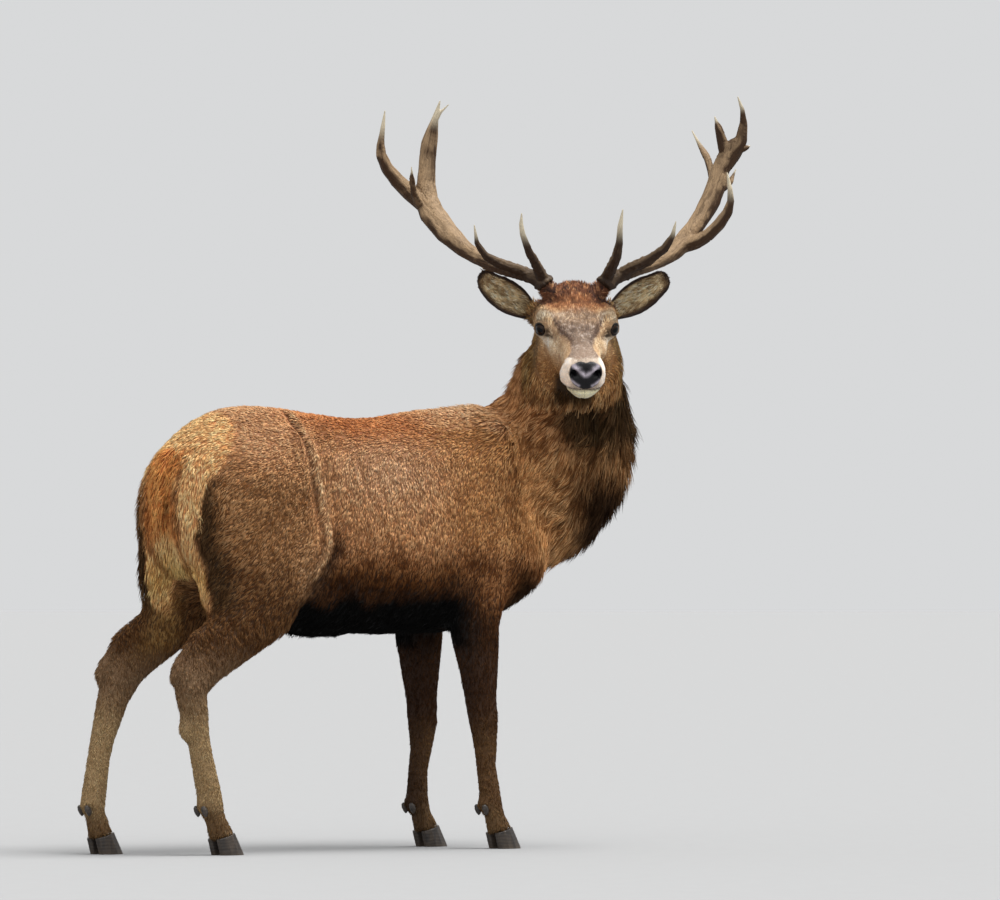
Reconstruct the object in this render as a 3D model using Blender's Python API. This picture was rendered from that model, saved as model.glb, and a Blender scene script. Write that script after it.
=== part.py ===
"""Red deer stag, standing, looking back over its right side: a still, life-size model.

Metres. +X is the way the trunk heads, +Y is the animal's left, +Z is up and the floor is Z = 0.
The flesh is modelled as overlapping forms, made one, softened, pressed in where the body is hollow
and then parted with thin cuts into head, neck, trunk and legs. Ears, eyes, tail, antlers, hooves
and dewclaws are forms of their own. At the end all is moved so that the origin is the middle of
the bottom of the model's box.
"""

import math

import bmesh
import bpy
from mathutils import Matrix, Vector

# Driving dimensions
WITHERS_HEIGHT = 1.188
BACK_HEIGHT = 1.146
CROUP_HEIGHT = 1.172
BELLY_HEIGHT = 0.572
CHEST_HALF_WIDTH = 0.195
HIP_HALF_WIDTH = 0.180

HEAD_TURN = math.radians(-120)  # the way that the face looks, from the trunk's heading
HEAD_PITCH = math.radians(23)  # how far the bridge of the nose slopes down
HEAD_TOP = Vector((0.641, -0.133, 1.469))  # the back of the skull's crown
HEAD_LENGTH = 0.43
EYE_PLACE = (0.163, 0.0900, -0.027)  # along the nose, aside, up from the bridge
EYE_RADIUS = 0.0215
EYE_LOOK = (0.60, 0.79, 0.08)  # the way that an eye faces, in the head's own axes

CUT = 0.0003  # the gap between two solids that meet
CORONET_HEIGHT = 0.050  # of the line where leg meets hoof
CORONET_SLOPE = math.radians(16)  # it is higher at the front
VOXEL = 0.0065
HEAD_TRIANGLES = 950
BODY_TRIANGLES = 1650


# ---- Making and cutting solids


def clear_scene():
    for found in list(bpy.data.objects):
        bpy.data.objects.remove(found)


def blend_stations(stations, steps):
    """Rows of numbers between the given rows, on a Catmull-Rom curve."""
    rows = []
    last = len(stations) - 1
    for i in range(last):
        four = (stations[max(i - 1, 0)], stations[i], stations[i + 1], stations[min(i + 2, last)])
        for k in range(steps):
            t = k / steps
            weights = (
                0.5 * (-t + 2 * t**2 - t**3),
                0.5 * (2 - 5 * t**2 + 3 * t**3),
                0.5 * (t + 4 * t**2 - 3 * t**3),
                0.5 * (-(t**2) + t**3),
            )
            rows.append(tuple(sum(w * v for w, v in zip(weights, values)) for values in zip(*four)))
    rows.append(tuple(stations[last]))
    return rows


def new_object(name, mesh_maker):
    mesh = bpy.data.meshes.new(name)
    mesh_maker.to_mesh(mesh)
    mesh_maker.free()
    made = bpy.data.objects.new(name, mesh)
    bpy.context.scene.collection.objects.link(made)
    return made


def skin_rings(name, rings):
    """A closed solid over rings of points, each a list of the same length."""
    maker = bmesh.new()
    loops = [[maker.verts.new(point) for point in ring] for ring in rings]
    count = len(loops[0])
    for low, high in zip(loops, loops[1:]):
        for i in range(count):
            j = (i + 1) % count
            maker.faces.new((low[i], low[j], high[j], high[i]))
    for loop in (loops[0], loops[-1]):
        middle = maker.verts.new(sum((v.co for v in loop), Vector()) / count)
        for i in range(count):
            maker.faces.new((loop[i], loop[(i + 1) % count], middle))
    bmesh.ops.triangulate(maker, faces=maker.faces[:])
    bmesh.ops.recalc_face_normals(maker, faces=maker.faces)
    return new_object(name, maker)


def oval(centre, side, up, half_width, half_up, half_down, square, taper, count):
    """A rounded section: taper above 0 makes it wider towards up."""
    points = []
    for i in range(count):
        angle = 2 * math.pi * i / count
        c, s = math.cos(angle), math.sin(angle)
        across = math.copysign(abs(c) ** (2 / square), c) * half_width
        height = math.copysign(abs(s) ** (2 / square), s)
        across *= 1 + taper * height
        points.append(centre + side * across + up * height * (half_up if s > 0 else half_down))
    return points


def egg(name, centre, radii, turn=(0, 0, 0), frame=None, detail=24):
    maker = bmesh.new()
    matrix = (frame or Matrix.Identity(4)) @ Matrix.Translation(centre)
    for angle, axis in zip(turn, "XYZ"):
        matrix = matrix @ Matrix.Rotation(math.radians(angle), 4, axis)
    matrix = matrix @ Matrix.Diagonal((*radii, 1))
    bmesh.ops.create_uvsphere(
        maker, u_segments=detail, v_segments=detail // 2 + 2, radius=1, matrix=matrix
    )
    return new_object(name, maker)


def prism(name, outline, low, high, place):
    """A closed solid: the outline's points a, b are swept from low to high; place(a, b, t) sets each."""
    return skin_rings(name, [[place(a, b, t) for a, b in outline] for t in (low, high)])


def join(objects, name):
    bpy.ops.object.select_all(action="DESELECT")
    for one in objects:
        one.select_set(True)
    bpy.context.view_layer.objects.active = objects[0]
    bpy.ops.object.join()
    joined = bpy.context.view_layer.objects.active
    joined.name = name
    return joined


def copy_of(original, name):
    made = original.copy()
    made.data = original.data.copy()
    made.name = name
    bpy.context.scene.collection.objects.link(made)
    return made


def apply_modifiers(solid):
    graph = bpy.context.evaluated_depsgraph_get()
    mesh = bpy.data.meshes.new_from_object(solid.evaluated_get(graph))
    solid.modifiers.clear()
    solid.data = mesh


def boolean(solid, tool, operation, keep_tool=False):
    step = solid.modifiers.new(operation.lower(), "BOOLEAN")
    step.operation = operation
    step.object = tool
    apply_modifiers(solid)
    if not keep_tool:
        bpy.data.objects.remove(tool)
    return solid


def keep_largest(solid):
    """Drops the crumbs that a cut has left beside the main body."""
    maker = bmesh.new()
    maker.from_mesh(solid.data)
    left = set(maker.verts)
    bodies = []
    while left:
        found, edge = set(), [left.pop()]
        while edge:
            vertex = edge.pop()
            found.add(vertex)
            fresh = [e.other_vert(vertex) for e in vertex.link_edges]
            fresh = [v for v in fresh if v in left]
            left.difference_update(fresh)
            edge.extend(fresh)
        bodies.append(found)
    bodies.sort(key=len)
    for body in bodies[:-1]:
        bmesh.ops.delete(maker, geom=list(body), context="VERTS")
    maker.to_mesh(solid.data)
    maker.free()


def grown(solid, name, distance):
    """A copy whose surface lies the distance further out."""
    made = copy_of(solid, name)
    maker = bmesh.new()
    maker.from_mesh(made.data)
    maker.normal_update()
    moves = [vertex.normal * distance for vertex in maker.verts]
    for vertex, move in zip(maker.verts, moves):
        vertex.co += move
    maker.to_mesh(made.data)
    maker.free()
    return made


def blend_weight(distance):
    """1 at the middle, 0 from 1 outwards, smooth between."""
    return max(0.0, 1 - distance**2) ** 2


def press(solid, centre, radii, push, frame=None):
    """Moves the points round a centre by a push that fades out at the radii."""
    frame = frame or Matrix.Identity(4)
    back = frame.inverted()
    shove = frame.to_3x3() @ Vector(push)
    for vertex in solid.data.vertices:
        away = back @ vertex.co - Vector(centre)
        distance = math.sqrt(sum((a / r) ** 2 for a, r in zip(away, radii)))
        if distance < 1:
            vertex.co += shove * blend_weight(distance)


# ---- Trunk

# Along, top, bottom, half width, squareness, taper of each section, from rump to breast
TRUNK_SECTIONS = (
    (-0.580, 0.985, 0.850, 0.060, 2.0, 0.00),
    (-0.567, 1.035, 0.800, 0.105, 2.1, 0.00),
    (-0.535, 1.078, 0.745, 0.145, 2.2, 0.00),
    (-0.470, 1.130, 0.690, 0.172, 2.3, -0.02),
    (-0.370, CROUP_HEIGHT - 0.002, 0.645, HIP_HALF_WIDTH, 2.3, -0.06),
    (-0.240, CROUP_HEIGHT, 0.610, 0.168, 2.2, -0.06),
    (-0.100, 1.155, 0.585, 0.183, 2.1, -0.09),
    (0.050, BACK_HEIGHT, BELLY_HEIGHT, 0.203, 2.1, -0.09),
    (0.200, 1.168, BELLY_HEIGHT, 0.205, 2.1, -0.10),
    (0.330, 1.180, 0.580, CHEST_HALF_WIDTH, 2.1, -0.10),
    (0.430, WITHERS_HEIGHT, 0.605, 0.180, 2.1, -0.08),
    (0.520, 1.160, 0.645, 0.160, 2.1, 0.00),
    (0.600, 1.080, 0.710, 0.125, 2.0, 0.00),
    (0.650, 1.000, 0.800, 0.070, 2.0, 0.00),
)


def trunk_form():
    rings = []
    for along, top, bottom, half_width, square, taper in blend_stations(TRUNK_SECTIONS, 3):
        middle = bottom + 0.45 * (top - bottom)
        side, up = Vector((0, 1, 0)), Vector((0, 0, 1))
        centre = Vector((along, 0, middle))
        rings.append(
            oval(centre, side, up, half_width, top - middle, middle - bottom, square, taper, 36)
        )
    return skin_rings("trunk_form", rings)


def muscle_forms():
    forms = []
    for side, ham_back, ham_low in ((-1, -0.448, 0.76), (1, -0.500, 0.77)):
        forms += [
            egg("shoulder_blade", (0.385, side * 0.112, 0.96), (0.10, 0.075, 0.20), (0, 14, 0)),
            egg("shoulder_point", (0.455, side * 0.105, 0.80), (0.12, 0.085, 0.13), (0, 20, 0)),
            egg("haunch", (-0.385, side * 0.105, 0.92), (0.175, 0.088, 0.20), (0, 25, 0)),
            egg("buttock", (-0.520, side * 0.075, 0.91), (0.075, 0.072, 0.155), (0, 5, 0)),
            egg("ham", (ham_back, side * 0.098, ham_low), (0.080, 0.062, 0.175), (0, 4, 0)),
            egg("hip_point", (-0.262, side * 0.108, 1.062), (0.075, 0.050, 0.060)),
        ]
    forms.append(egg("sheath", (-0.075, 0, 0.590), (0.15, 0.032, 0.026)))
    return forms


# ---- Neck, with its mane

# Forward, left, up, turn in degrees, depth to the nape, depth to the throat, half width
NECK_SECTIONS = (
    (0.360, 0.000, 0.880, 0, 0.240, 0.240, 0.165),
    (0.550, -0.005, 0.985, -3, 0.225, 0.250, 0.165),
    (0.630, -0.025, 1.085, -12, 0.185, 0.262, 0.168),
    (0.662, -0.055, 1.170, -25, 0.158, 0.198, 0.156),
    (0.662, -0.090, 1.265, -60, 0.144, 0.156, 0.136),
    (0.665, -0.109, 1.335, -95, 0.122, 0.142, 0.118),
    (0.653, -0.117, 1.400, -115, 0.088, 0.108, 0.098),
    (0.639, -0.126, 1.440, -120, 0.048, 0.070, 0.068),
)


def neck_form():
    stations = blend_stations(NECK_SECTIONS, 4)
    places = [Vector(row[:3]) for row in stations]
    rings = []
    for i, (_, _, _, turn, nape, throat, width) in enumerate(stations):
        along = (places[min(i + 1, len(places) - 1)] - places[max(i - 1, 0)]).normalized()
        angle = math.radians(turn)
        side = Vector((-math.sin(angle), math.cos(angle), 0))
        side = (side - along * side.dot(along)).normalized()
        rings.append(oval(places[i], side, along.cross(side), width, nape, throat, 2.0, 0.0, 32))
    return skin_rings("neck_form", rings)


# ---- Head


def head_frame():
    """Matrix whose axes are: along the nose, to the animal's left, and up from the bridge of the nose."""
    return (
        Matrix.Translation(HEAD_TOP)
        @ Matrix.Rotation(HEAD_TURN, 4, "Z")
        @ Matrix.Rotation(HEAD_PITCH, 4, "Y")
    )


def eye_axes(side):
    """Matrix at an eye's middle, whose axes are across the lids, up them, and the way the eye looks."""
    frame = head_frame()
    look = Vector((EYE_LOOK[0], side * EYE_LOOK[1], EYE_LOOK[2]))
    look = (frame.to_3x3() @ look).normalized()
    across = Vector((0, 0, 1)).cross(look).normalized()
    axes = Matrix((across, look.cross(across), look)).transposed().to_4x4()
    axes.translation = frame @ Vector((EYE_PLACE[0], side * EYE_PLACE[1], EYE_PLACE[2]))
    return axes


# Along, top, bottom, half width, squareness, taper of each section of the head, from nape to nose
HEAD_SECTIONS = (
    (-0.045, -0.030, -0.130, 0.055, 2.0, 0.00),
    (-0.015, 0.016, -0.170, 0.080, 2.1, 0.00),
    (0.030, 0.044, -0.200, 0.090, 2.2, 0.08),
    (0.080, 0.046, -0.212, 0.090, 2.3, 0.14),
    (0.130, 0.030, -0.205, 0.088, 2.3, 0.22),
    (0.175, 0.014, -0.188, 0.080, 2.3, 0.26),
    (0.220, 0.003, -0.170, 0.067, 2.3, 0.20),
    (0.265, -0.005, -0.154, 0.057, 2.3, 0.10),
    (0.315, -0.011, -0.143, 0.053, 2.3, 0.02),
    (0.355, -0.013, -0.138, 0.056, 2.3, 0.00),
    (0.390, -0.013, -0.134, 0.057, 2.4, 0.04),
    (0.415, -0.018, -0.120, 0.050, 2.4, 0.06),
    (HEAD_LENGTH, -0.032, -0.098, 0.036, 2.3, 0.05),
)


def head_forms():
    frame = head_frame()
    rings = []
    for along, top, bottom, half_width, square, taper in blend_stations(HEAD_SECTIONS, 3):
        middle = bottom + 0.55 * (top - bottom)
        ring = oval(
            Vector((along, 0, middle)), Vector((0, 1, 0)), Vector((0, 0, 1)),
            half_width, top - middle, middle - bottom, square, taper, 32,
        )
        rings.append([frame @ point for point in ring])
    forms = [skin_rings("skull", rings)]
    for side in (-1, 1):
        forms += [
            egg("brow", (0.140, side * 0.080, 0.001), (0.048, 0.029, 0.018), (0, 10, 0), frame),
            egg("cheekbone", (0.180, side * 0.057, -0.058), (0.085, 0.025, 0.026), (0, 12, 0), frame),
            egg("temple", (0.096, side * 0.086, -0.026), (0.054, 0.028, 0.048), (0, 0, 0), frame),
            egg("jaw", (0.100, side * 0.066, -0.125), (0.082, 0.036, 0.072), (0, 12, 0), frame),
            egg("ear_root", (0.026, side * 0.088, -0.040), (0.038, 0.034, 0.040), (0, 0, 0), frame),
            egg("lip", (0.375, side * 0.032, -0.074), (0.046, 0.030, 0.042), (0, 6, 0), frame),
            egg("nostril_wing", (0.408, side * 0.027, -0.046), (0.026, 0.022, 0.026), (0, 0, 0), frame),
            egg("orbit", (0, 0, -0.004), (0.036, 0.031, 0.028), (0, 0, 0), eye_axes(side)),
            egg("pedicle", (0.052, side * 0.074, 0.044), (0.026, 0.025, 0.036), (side * -20, 0, 0), frame),
        ]
    forms.append(egg("chin", (0.383, 0, -0.118), (0.034, 0.032, 0.022), (0, 0, 0), frame))
    forms.append(egg("crown", (0.062, 0, 0.030), (0.060, 0.066, 0.034), (0, 0, 0), frame))
    return forms


def shape_head(body):
    """Presses in the hollows of the face, on the softened flesh."""
    frame = head_frame()
    for side in (-1, 1):
        press(body, (0.434, side * 0.026, -0.056), (0.022, 0.013, 0.011), (-0.012, side * -0.002, 0), frame)
        press(body, (0.216, side * 0.076, -0.032), (0.034, 0.030, 0.020), (0, side * -0.008, -0.002), frame)
        press(body, (0.280, side * 0.056, -0.085), (0.060, 0.030, 0.040), (0, side * -0.005, 0), frame)
        press(body, (0.375, side * 0.058, -0.106), (0.070, 0.030, 0.007), (0, side * -0.006, 0), frame)
        press(body, (0.085, side * 0.090, 0.020), (0.040, 0.030, 0.022), (0, side * -0.008, 0), frame)
    press(body, (0.425, 0, -0.106), (0.035, 0.055, 0.007), (-0.007, 0, 0), frame)
    press(body, (0.400, 0, -0.150), (0.060, 0.050, 0.020), (-0.004, 0, 0.004), frame)


# ---- Legs

# How thick a leg is at each named place: half depth, half breadth
FORE_THICKNESS = {
    "shoulder": (0.120, 0.075),
    "elbow": (0.082, 0.060),
    "forearm": (0.061, 0.048),
    "above_knee": (0.046, 0.040),
    "knee": (0.044, 0.040),
    "below_knee": (0.036, 0.032),
    "cannon": (0.030, 0.027),
    "fetlock": (0.032, 0.031),
    "pastern": (0.028, 0.031),
    "coronet": (0.036, 0.040),
}
HIND_THICKNESS = {
    "hip": (0.150, 0.085),
    "thigh": (0.160, 0.085),
    "stifle": (0.122, 0.070),
    "gaskin": (0.082, 0.052),
    "above_hock": (0.062, 0.036),
    "hock": (0.052, 0.037),
    "below_hock": (0.043, 0.033),
    "cannon": (0.034, 0.029),
    "fetlock": (0.036, 0.032),
    "pastern": (0.029, 0.031),
    "coronet": (0.036, 0.040),
}
# Where each leg's joints stand: forward, aside, up
FORE_PLACES = {
    "right": {
        "shoulder": (0.400, 0.105, 0.800),
        "elbow": (0.335, 0.118, 0.630),
        "forearm": (0.341, 0.125, 0.500),
        "above_knee": (0.350, 0.125, 0.400),
        "knee": (0.358, 0.125, 0.345),
        "below_knee": (0.364, 0.124, 0.285),
        "cannon": (0.370, 0.122, 0.215),
        "fetlock": (0.384, 0.120, 0.140),
        "pastern": (0.397, 0.120, 0.092),
        "coronet": (0.416, 0.120, 0.040),
    },
    "left": {
        "shoulder": (0.400, 0.105, 0.800),
        "elbow": (0.325, 0.118, 0.630),
        "forearm": (0.327, 0.125, 0.500),
        "above_knee": (0.331, 0.125, 0.400),
        "knee": (0.334, 0.125, 0.340),
        "below_knee": (0.331, 0.124, 0.280),
        "cannon": (0.320, 0.122, 0.215),
        "fetlock": (0.314, 0.120, 0.140),
        "pastern": (0.326, 0.120, 0.092),
        "coronet": (0.345, 0.120, 0.040),
    },
}
HIND_PLACES = {
    "right": {
        "hip": (-0.430, 0.085, 0.950),
        "thigh": (-0.370, 0.103, 0.830),
        "stifle": (-0.312, 0.113, 0.700),
        "gaskin": (-0.402, 0.122, 0.588),
        "above_hock": (-0.512, 0.124, 0.500),
        "hock": (-0.560, 0.125, 0.440),
        "below_hock": (-0.558, 0.125, 0.385),
        "cannon": (-0.536, 0.124, 0.280),
        "fetlock": (-0.504, 0.122, 0.150),
        "pastern": (-0.488, 0.121, 0.098),
        "coronet": (-0.464, 0.120, 0.040),
    },
    "left": {
        "hip": (-0.440, 0.085, 0.950),
        "thigh": (-0.415, 0.103, 0.830),
        "stifle": (-0.400, 0.112, 0.705),
        "gaskin": (-0.488, 0.115, 0.597),
        "above_hock": (-0.584, 0.115, 0.508),
        "hock": (-0.636, 0.115, 0.440),
        "below_hock": (-0.662, 0.114, 0.370),
        "cannon": (-0.692, 0.113, 0.270),
        "fetlock": (-0.712, 0.112, 0.150),
        "pastern": (-0.706, 0.112, 0.098),
        "coronet": (-0.688, 0.112, 0.040),
    },
}
LEG_SIGN = {"right": -1, "left": 1}


def leg_form(name, places, thickness, side_sign):
    rows = []
    for joint, (forward, aside, up) in places.items():
        rows.append((forward, side_sign * aside, up, *thickness[joint]))
    rows = blend_stations(rows, 4)
    centres = [Vector(row[:3]) for row in rows]
    rings = []
    for i, (_, _, _, depth, breadth) in enumerate(rows):
        along = (centres[min(i + 1, len(rows) - 1)] - centres[max(i - 1, 0)]).normalized()
        side = Vector((0, 1, 0))
        side = (side - along * side.dot(along)).normalized()
        rings.append(oval(centres[i], side, along.cross(side), breadth, depth, depth, 2.0, 0.0, 20))
    return skin_rings(name, rings)


def leg_forms():
    forms = []
    for side, sign in LEG_SIGN.items():
        fore, hind = FORE_PLACES[side], HIND_PLACES[side]
        forms.append(leg_form("fore_" + side, fore, FORE_THICKNESS, sign))
        forms.append(leg_form("hind_" + side, hind, HIND_THICKNESS, sign))
        x, y, z = fore["elbow"]
        forms.append(egg("elbow", (x - 0.062, sign * y, z + 0.020), (0.034, 0.036, 0.050)))
        x, y, z = hind["hock"]
        forms.append(egg("heel", (x - 0.044, sign * y, z + 0.040), (0.024, 0.022, 0.048), (0, 20, 0)))
        x, y, z = hind["above_hock"]
        forms.append(egg("tendon", (x - 0.036, sign * y, z + 0.056), (0.026, 0.022, 0.090), (0, 38, 0)))
        x, y, z = hind["below_hock"]
        forms.append(egg("tuft", (x - 0.020, sign * y, z - 0.050), (0.024, 0.024, 0.045)))
        for places in (fore, hind):
            x, y, z = places["fetlock"]
            forms.append(egg("heel_pad", (x - 0.016, sign * y, z - 0.020), (0.026, 0.028, 0.030)))
    return forms


# ---- The flesh as one skin


def is_head(point):
    along, _, up = head_frame().inverted() @ point
    return along + up > -0.12 and up > -0.23 and point.z > 1.12


def soften(body, name, chosen, turns):
    group = body.vertex_groups.new(name=name)
    group.add([v.index for v in body.data.vertices if chosen(v.co)], 1.0, "REPLACE")
    smooth = body.modifiers.new(name, "SMOOTH")
    smooth.factor = 0.5
    smooth.iterations = turns
    smooth.vertex_group = name
    apply_modifiers(body)


def thin_out(body, name, chosen, triangles):
    """Collapses the chosen part of the mesh to about that many triangles and leaves the rest."""
    group = body.vertex_groups.new(name=name)
    inside = {v.index for v in body.data.vertices if chosen(v.co)}
    group.add(list(inside), 1.0, "REPLACE")
    inside_count = others = 0
    for face in body.data.polygons:
        count = len(face.vertices) - 2
        if inside.issuperset(face.vertices):
            inside_count += count
        else:
            others += count
    collapse = body.modifiers.new(name, "DECIMATE")
    collapse.vertex_group = name
    collapse.ratio = (others + triangles) / (others + inside_count)
    apply_modifiers(body)


def flesh():
    body = join([trunk_form(), neck_form(), *head_forms(), *muscle_forms(), *leg_forms()], "flesh")
    remesh = body.modifiers.new("one_skin", "REMESH")
    remesh.mode = "VOXEL"
    remesh.voxel_size = VOXEL
    apply_modifiers(body)
    soften(body, "body", lambda p: p.z > 0.58 and not is_head(p), 90)
    soften(body, "legs", lambda p: p.z < 0.66, 6)
    soften(body, "face", lambda p: p.z > 1.15, 11)
    shape_head(body)
    for side in (-1, 1):
        press(body, (-0.165, side * 0.17, 0.885), (0.10, 0.13, 0.17), (0, side * -0.020, 0))
        press(body, (0.235, side * 0.20, 0.93), (0.075, 0.10, 0.22), (0, side * -0.010, 0))
    press(body, (-0.590, 0, 0.87), (0.09, 0.048, 0.22), (0.030, 0, 0))
    thin_out(body, "thin_body", lambda p: not is_head(p), BODY_TRIANGLES)
    thin_out(body, "thin_head", is_head, HEAD_TRIANGLES)
    return body


# ---- Parting the flesh


def head_region():
    """All that lies before the nape and above the throat, in the axes of the head."""
    frame = head_frame()
    outline = ((0.100, -0.216), (-0.066, -0.050), (-0.066, 0.250), (0.500, 0.250), (0.500, -0.216))
    return prism("head_region", outline, -0.25, 0.25, lambda u, w, v: frame @ Vector((u, v, w)))


def neck_region():
    outline = ((0.660, 0.720), (1.200, 0.720), (1.200, 1.700), (0.290, 1.700))
    return prism("neck_region", outline, -0.5, 0.5, lambda x, z, y: Vector((x, y, z)))


def leg_region(sign, low, high, inner, outer):
    """From the middle out, below a line that rises from inner to outer."""
    outline = ((0.012, -0.1), (0.012, inner), (0.40, outer), (0.40, -0.1))
    return prism("leg_region", outline, low, high, lambda y, z, x: Vector((x, sign * y, z)))


def part_off(body, region, name):
    """Takes what lies in the region out of the body, as a piece of that name with a thin gap round it."""
    piece = copy_of(body, name)
    wider = grown(region, "wider", CUT * 1.7)
    boolean(piece, region, "INTERSECT")
    boolean(body, wider, "DIFFERENCE")
    return piece


def coronet_plane(place):
    """A point on the line between leg and hoof, and that plane's normal."""
    point = Vector((place[0], place[1], CORONET_HEIGHT))
    return point, Vector((-math.sin(CORONET_SLOPE), 0, math.cos(CORONET_SLOPE)))


def cut_foot(leg, place):
    """Takes off what is below the coronet, where the hoof goes."""
    point, normal = coronet_plane(place)
    maker = bmesh.new()
    maker.from_mesh(leg.data)
    everything = maker.verts[:] + maker.edges[:] + maker.faces[:]
    found = bmesh.ops.bisect_plane(
        maker, geom=everything, dist=1e-6, plane_co=point + normal * CUT, plane_no=normal,
        clear_inner=True,
    )
    edges = [item for item in found["geom_cut"] if isinstance(item, bmesh.types.BMEdge)]
    bmesh.ops.holes_fill(maker, edges=edges)
    bmesh.ops.triangulate(maker, faces=[face for face in maker.faces if len(face.verts) > 3])
    maker.to_mesh(leg.data)
    maker.free()


# ---- Hooves and dewclaws

CLAW_LENGTH = 0.078
CLAW_WIDTH = 0.036
CLAW_GAP = 0.005  # the cleft
CLAW_LEAN = 0.020  # how far the sole lies ahead of the coronet


def claw_ring(centre, length, width, side, height_at):
    """A pointed D whose straight side is the cleft."""
    points = []
    for i in range(10):
        angle = 2 * math.pi * i / 10
        x = math.cos(angle) * length / 2
        y = math.sin(angle) * width / 2
        ahead = x / length + 0.5
        y *= 1 - 0.38 * ahead**2
        if y < 0:
            y *= 0.75
        y += -0.13 * width * ahead**2
        x, y = centre.x + x, centre.y + side * y
        points.append(Vector((x, y, height_at(x))))
    return points


def claw(name, place, side):
    point, normal = coronet_plane(place)

    def top(x):
        return point.z + (x - point.x) * math.tan(CORONET_SLOPE)

    aside = place[1] + side * (CLAW_WIDTH + CLAW_GAP) / 2
    coronet = Vector((place[0] - 0.002, aside, 0))
    sole = coronet + Vector((CLAW_LEAN, 0, 0))
    rings = [claw_ring(sole, CLAW_LENGTH, CLAW_WIDTH, side, lambda x: 0.0)]
    for share in (0.12,):
        centre = sole.lerp(coronet, share)
        length = CLAW_LENGTH + (0.062 - CLAW_LENGTH) * share
        rings.append(claw_ring(centre, length, CLAW_WIDTH, side, lambda x: top(x) * share))
    rings.append(claw_ring(coronet, 0.060, CLAW_WIDTH - 0.002, side, top))
    return skin_rings(name, rings)


def hooves():
    made = []
    for end, all_places in (("fore", FORE_PLACES), ("hind", HIND_PLACES)):
        for leg_side, sign in LEG_SIGN.items():
            x, y, _ = all_places[leg_side]["coronet"]
            for claw_side, toward in (("inner", -sign), ("outer", sign)):
                made.append(claw(f"hoof_{end}_{leg_side}_{claw_side}", (x, sign * y), toward))
    return made


def dewclaws(legs):
    made = []
    for end, all_places in (("fore", FORE_PLACES), ("hind", HIND_PLACES)):
        for leg_side, sign in LEG_SIGN.items():
            x, y, z = all_places[leg_side]["fetlock"]
            for claw_side, toward in (("inner", -sign), ("outer", sign)):
                centre = (x - 0.032, sign * y + toward * 0.019, z - 0.036)
                name = f"dewclaw_{end}_{leg_side}_{claw_side}"
                made.append(egg(name, centre, (0.011, 0.009, 0.018), (0, -25, 0), None, 6))
                boolean(legs[end, leg_side], grown(made[-1], "wider", CUT), "DIFFERENCE")
    return made


# ---- Eyes, ears and tail


def eye(name, head, side):
    axes = eye_axes(side)
    ball = egg(name, (0, 0, 0), (EYE_RADIUS, EYE_RADIUS, EYE_RADIUS), (0, 0, 0), axes, 12)
    boolean(head, grown(ball, "socket", CUT * 1.5), "DIFFERENCE")
    lids = egg("lids", (0, 0, EYE_RADIUS * 0.95), (0.0215, 0.0170, 0.018), (0, 0, 12 * side), axes, 12)
    boolean(head, lids, "DIFFERENCE")
    return ball


# Share of the ear's length, half width, half the angle that the ear's skin goes round, in degrees
EAR_SECTIONS = (
    (0.00, 0.020, 150),
    (0.12, 0.027, 128),
    (0.26, 0.038, 102),
    (0.40, 0.0445, 85),
    (0.52, 0.0460, 76),
    (0.65, 0.0435, 69),
    (0.77, 0.0365, 62),
    (0.87, 0.0265, 57),
    (0.95, 0.0155, 51),
    (1.00, 0.0050, 48),
)
EAR_BASE = (0.022, 0.090, -0.046)
EAR_ALONG = {-1: (-0.088, 0.163, 0.080), 1: (-0.088, 0.180, 0.082)}  # base to tip, in the head's axes
EAR_OPENING = (0.80, 0.24, 0.40)
EAR_THICKNESS = 0.0065


def ear(name, head, side):
    frame = head_frame()
    turn = frame.to_3x3()
    base = frame @ Vector((EAR_BASE[0], side * EAR_BASE[1], EAR_BASE[2]))
    forward, aside, up = EAR_ALONG[side]
    length = turn @ Vector((forward, side * aside, up))
    face = turn @ Vector((EAR_OPENING[0], side * EAR_OPENING[1], EAR_OPENING[2]))
    along = length.normalized()
    face = (face - along * face.dot(along)).normalized()
    across = along.cross(face) * side
    rings = []
    for share, half_width, half_angle in EAR_SECTIONS:
        spread = math.radians(half_angle)
        radius = half_width / math.sin(min(spread, math.pi / 2))
        thickness = min(EAR_THICKNESS, half_width * 0.7)
        bow = 0.030 * math.sin(math.pi * share) * length.length / 0.2
        back = base + length * share - face * (0.024 * (1 - share) + bow * 0.4)
        ring = []
        for shell, order in ((radius, 1), (radius - thickness, -1)):
            for i in range(7):
                angle = order * spread * (i / 3 - 1)
                deep = radius - shell * math.cos(angle)
                ring.append(back + face * deep + across * shell * math.sin(angle))
        rings.append(ring)
    made = skin_rings(name, rings)
    boolean(made, grown(head, "wider_head", CUT * 1.5), "DIFFERENCE")
    return made


# Forward, up, half depth, half width of the tail, from its root down
TAIL_SECTIONS = (
    (-0.500, 1.045, 0.026, 0.030),
    (-0.552, 1.036, 0.028, 0.036),
    (-0.578, 0.995, 0.024, 0.036),
    (-0.588, 0.940, 0.021, 0.035),
    (-0.591, 0.890, 0.018, 0.031),
    (-0.590, 0.850, 0.013, 0.021),
    (-0.586, 0.828, 0.005, 0.008),
)


def tail(body):
    places = [Vector((row[0], 0, row[1])) for row in TAIL_SECTIONS]
    rings = []
    for i, (_, _, depth, width) in enumerate(TAIL_SECTIONS):
        along = (places[min(i + 1, len(places) - 1)] - places[max(i - 1, 0)]).normalized()
        side = Vector((0, 1, 0))
        rings.append(oval(places[i], side, along.cross(side), width, depth, depth, 2.0, 0.0, 12))
    made = skin_rings("tail", rings)
    boolean(made, grown(body, "wider_body", CUT * 1.5), "DIFFERENCE")
    return made


# ---- Antlers
# Places forward, aside and up from the crown, level with the floor, then half the width seen from ahead.
# A beam flattens where it widens, because its thickness keeps to a limit.

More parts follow.
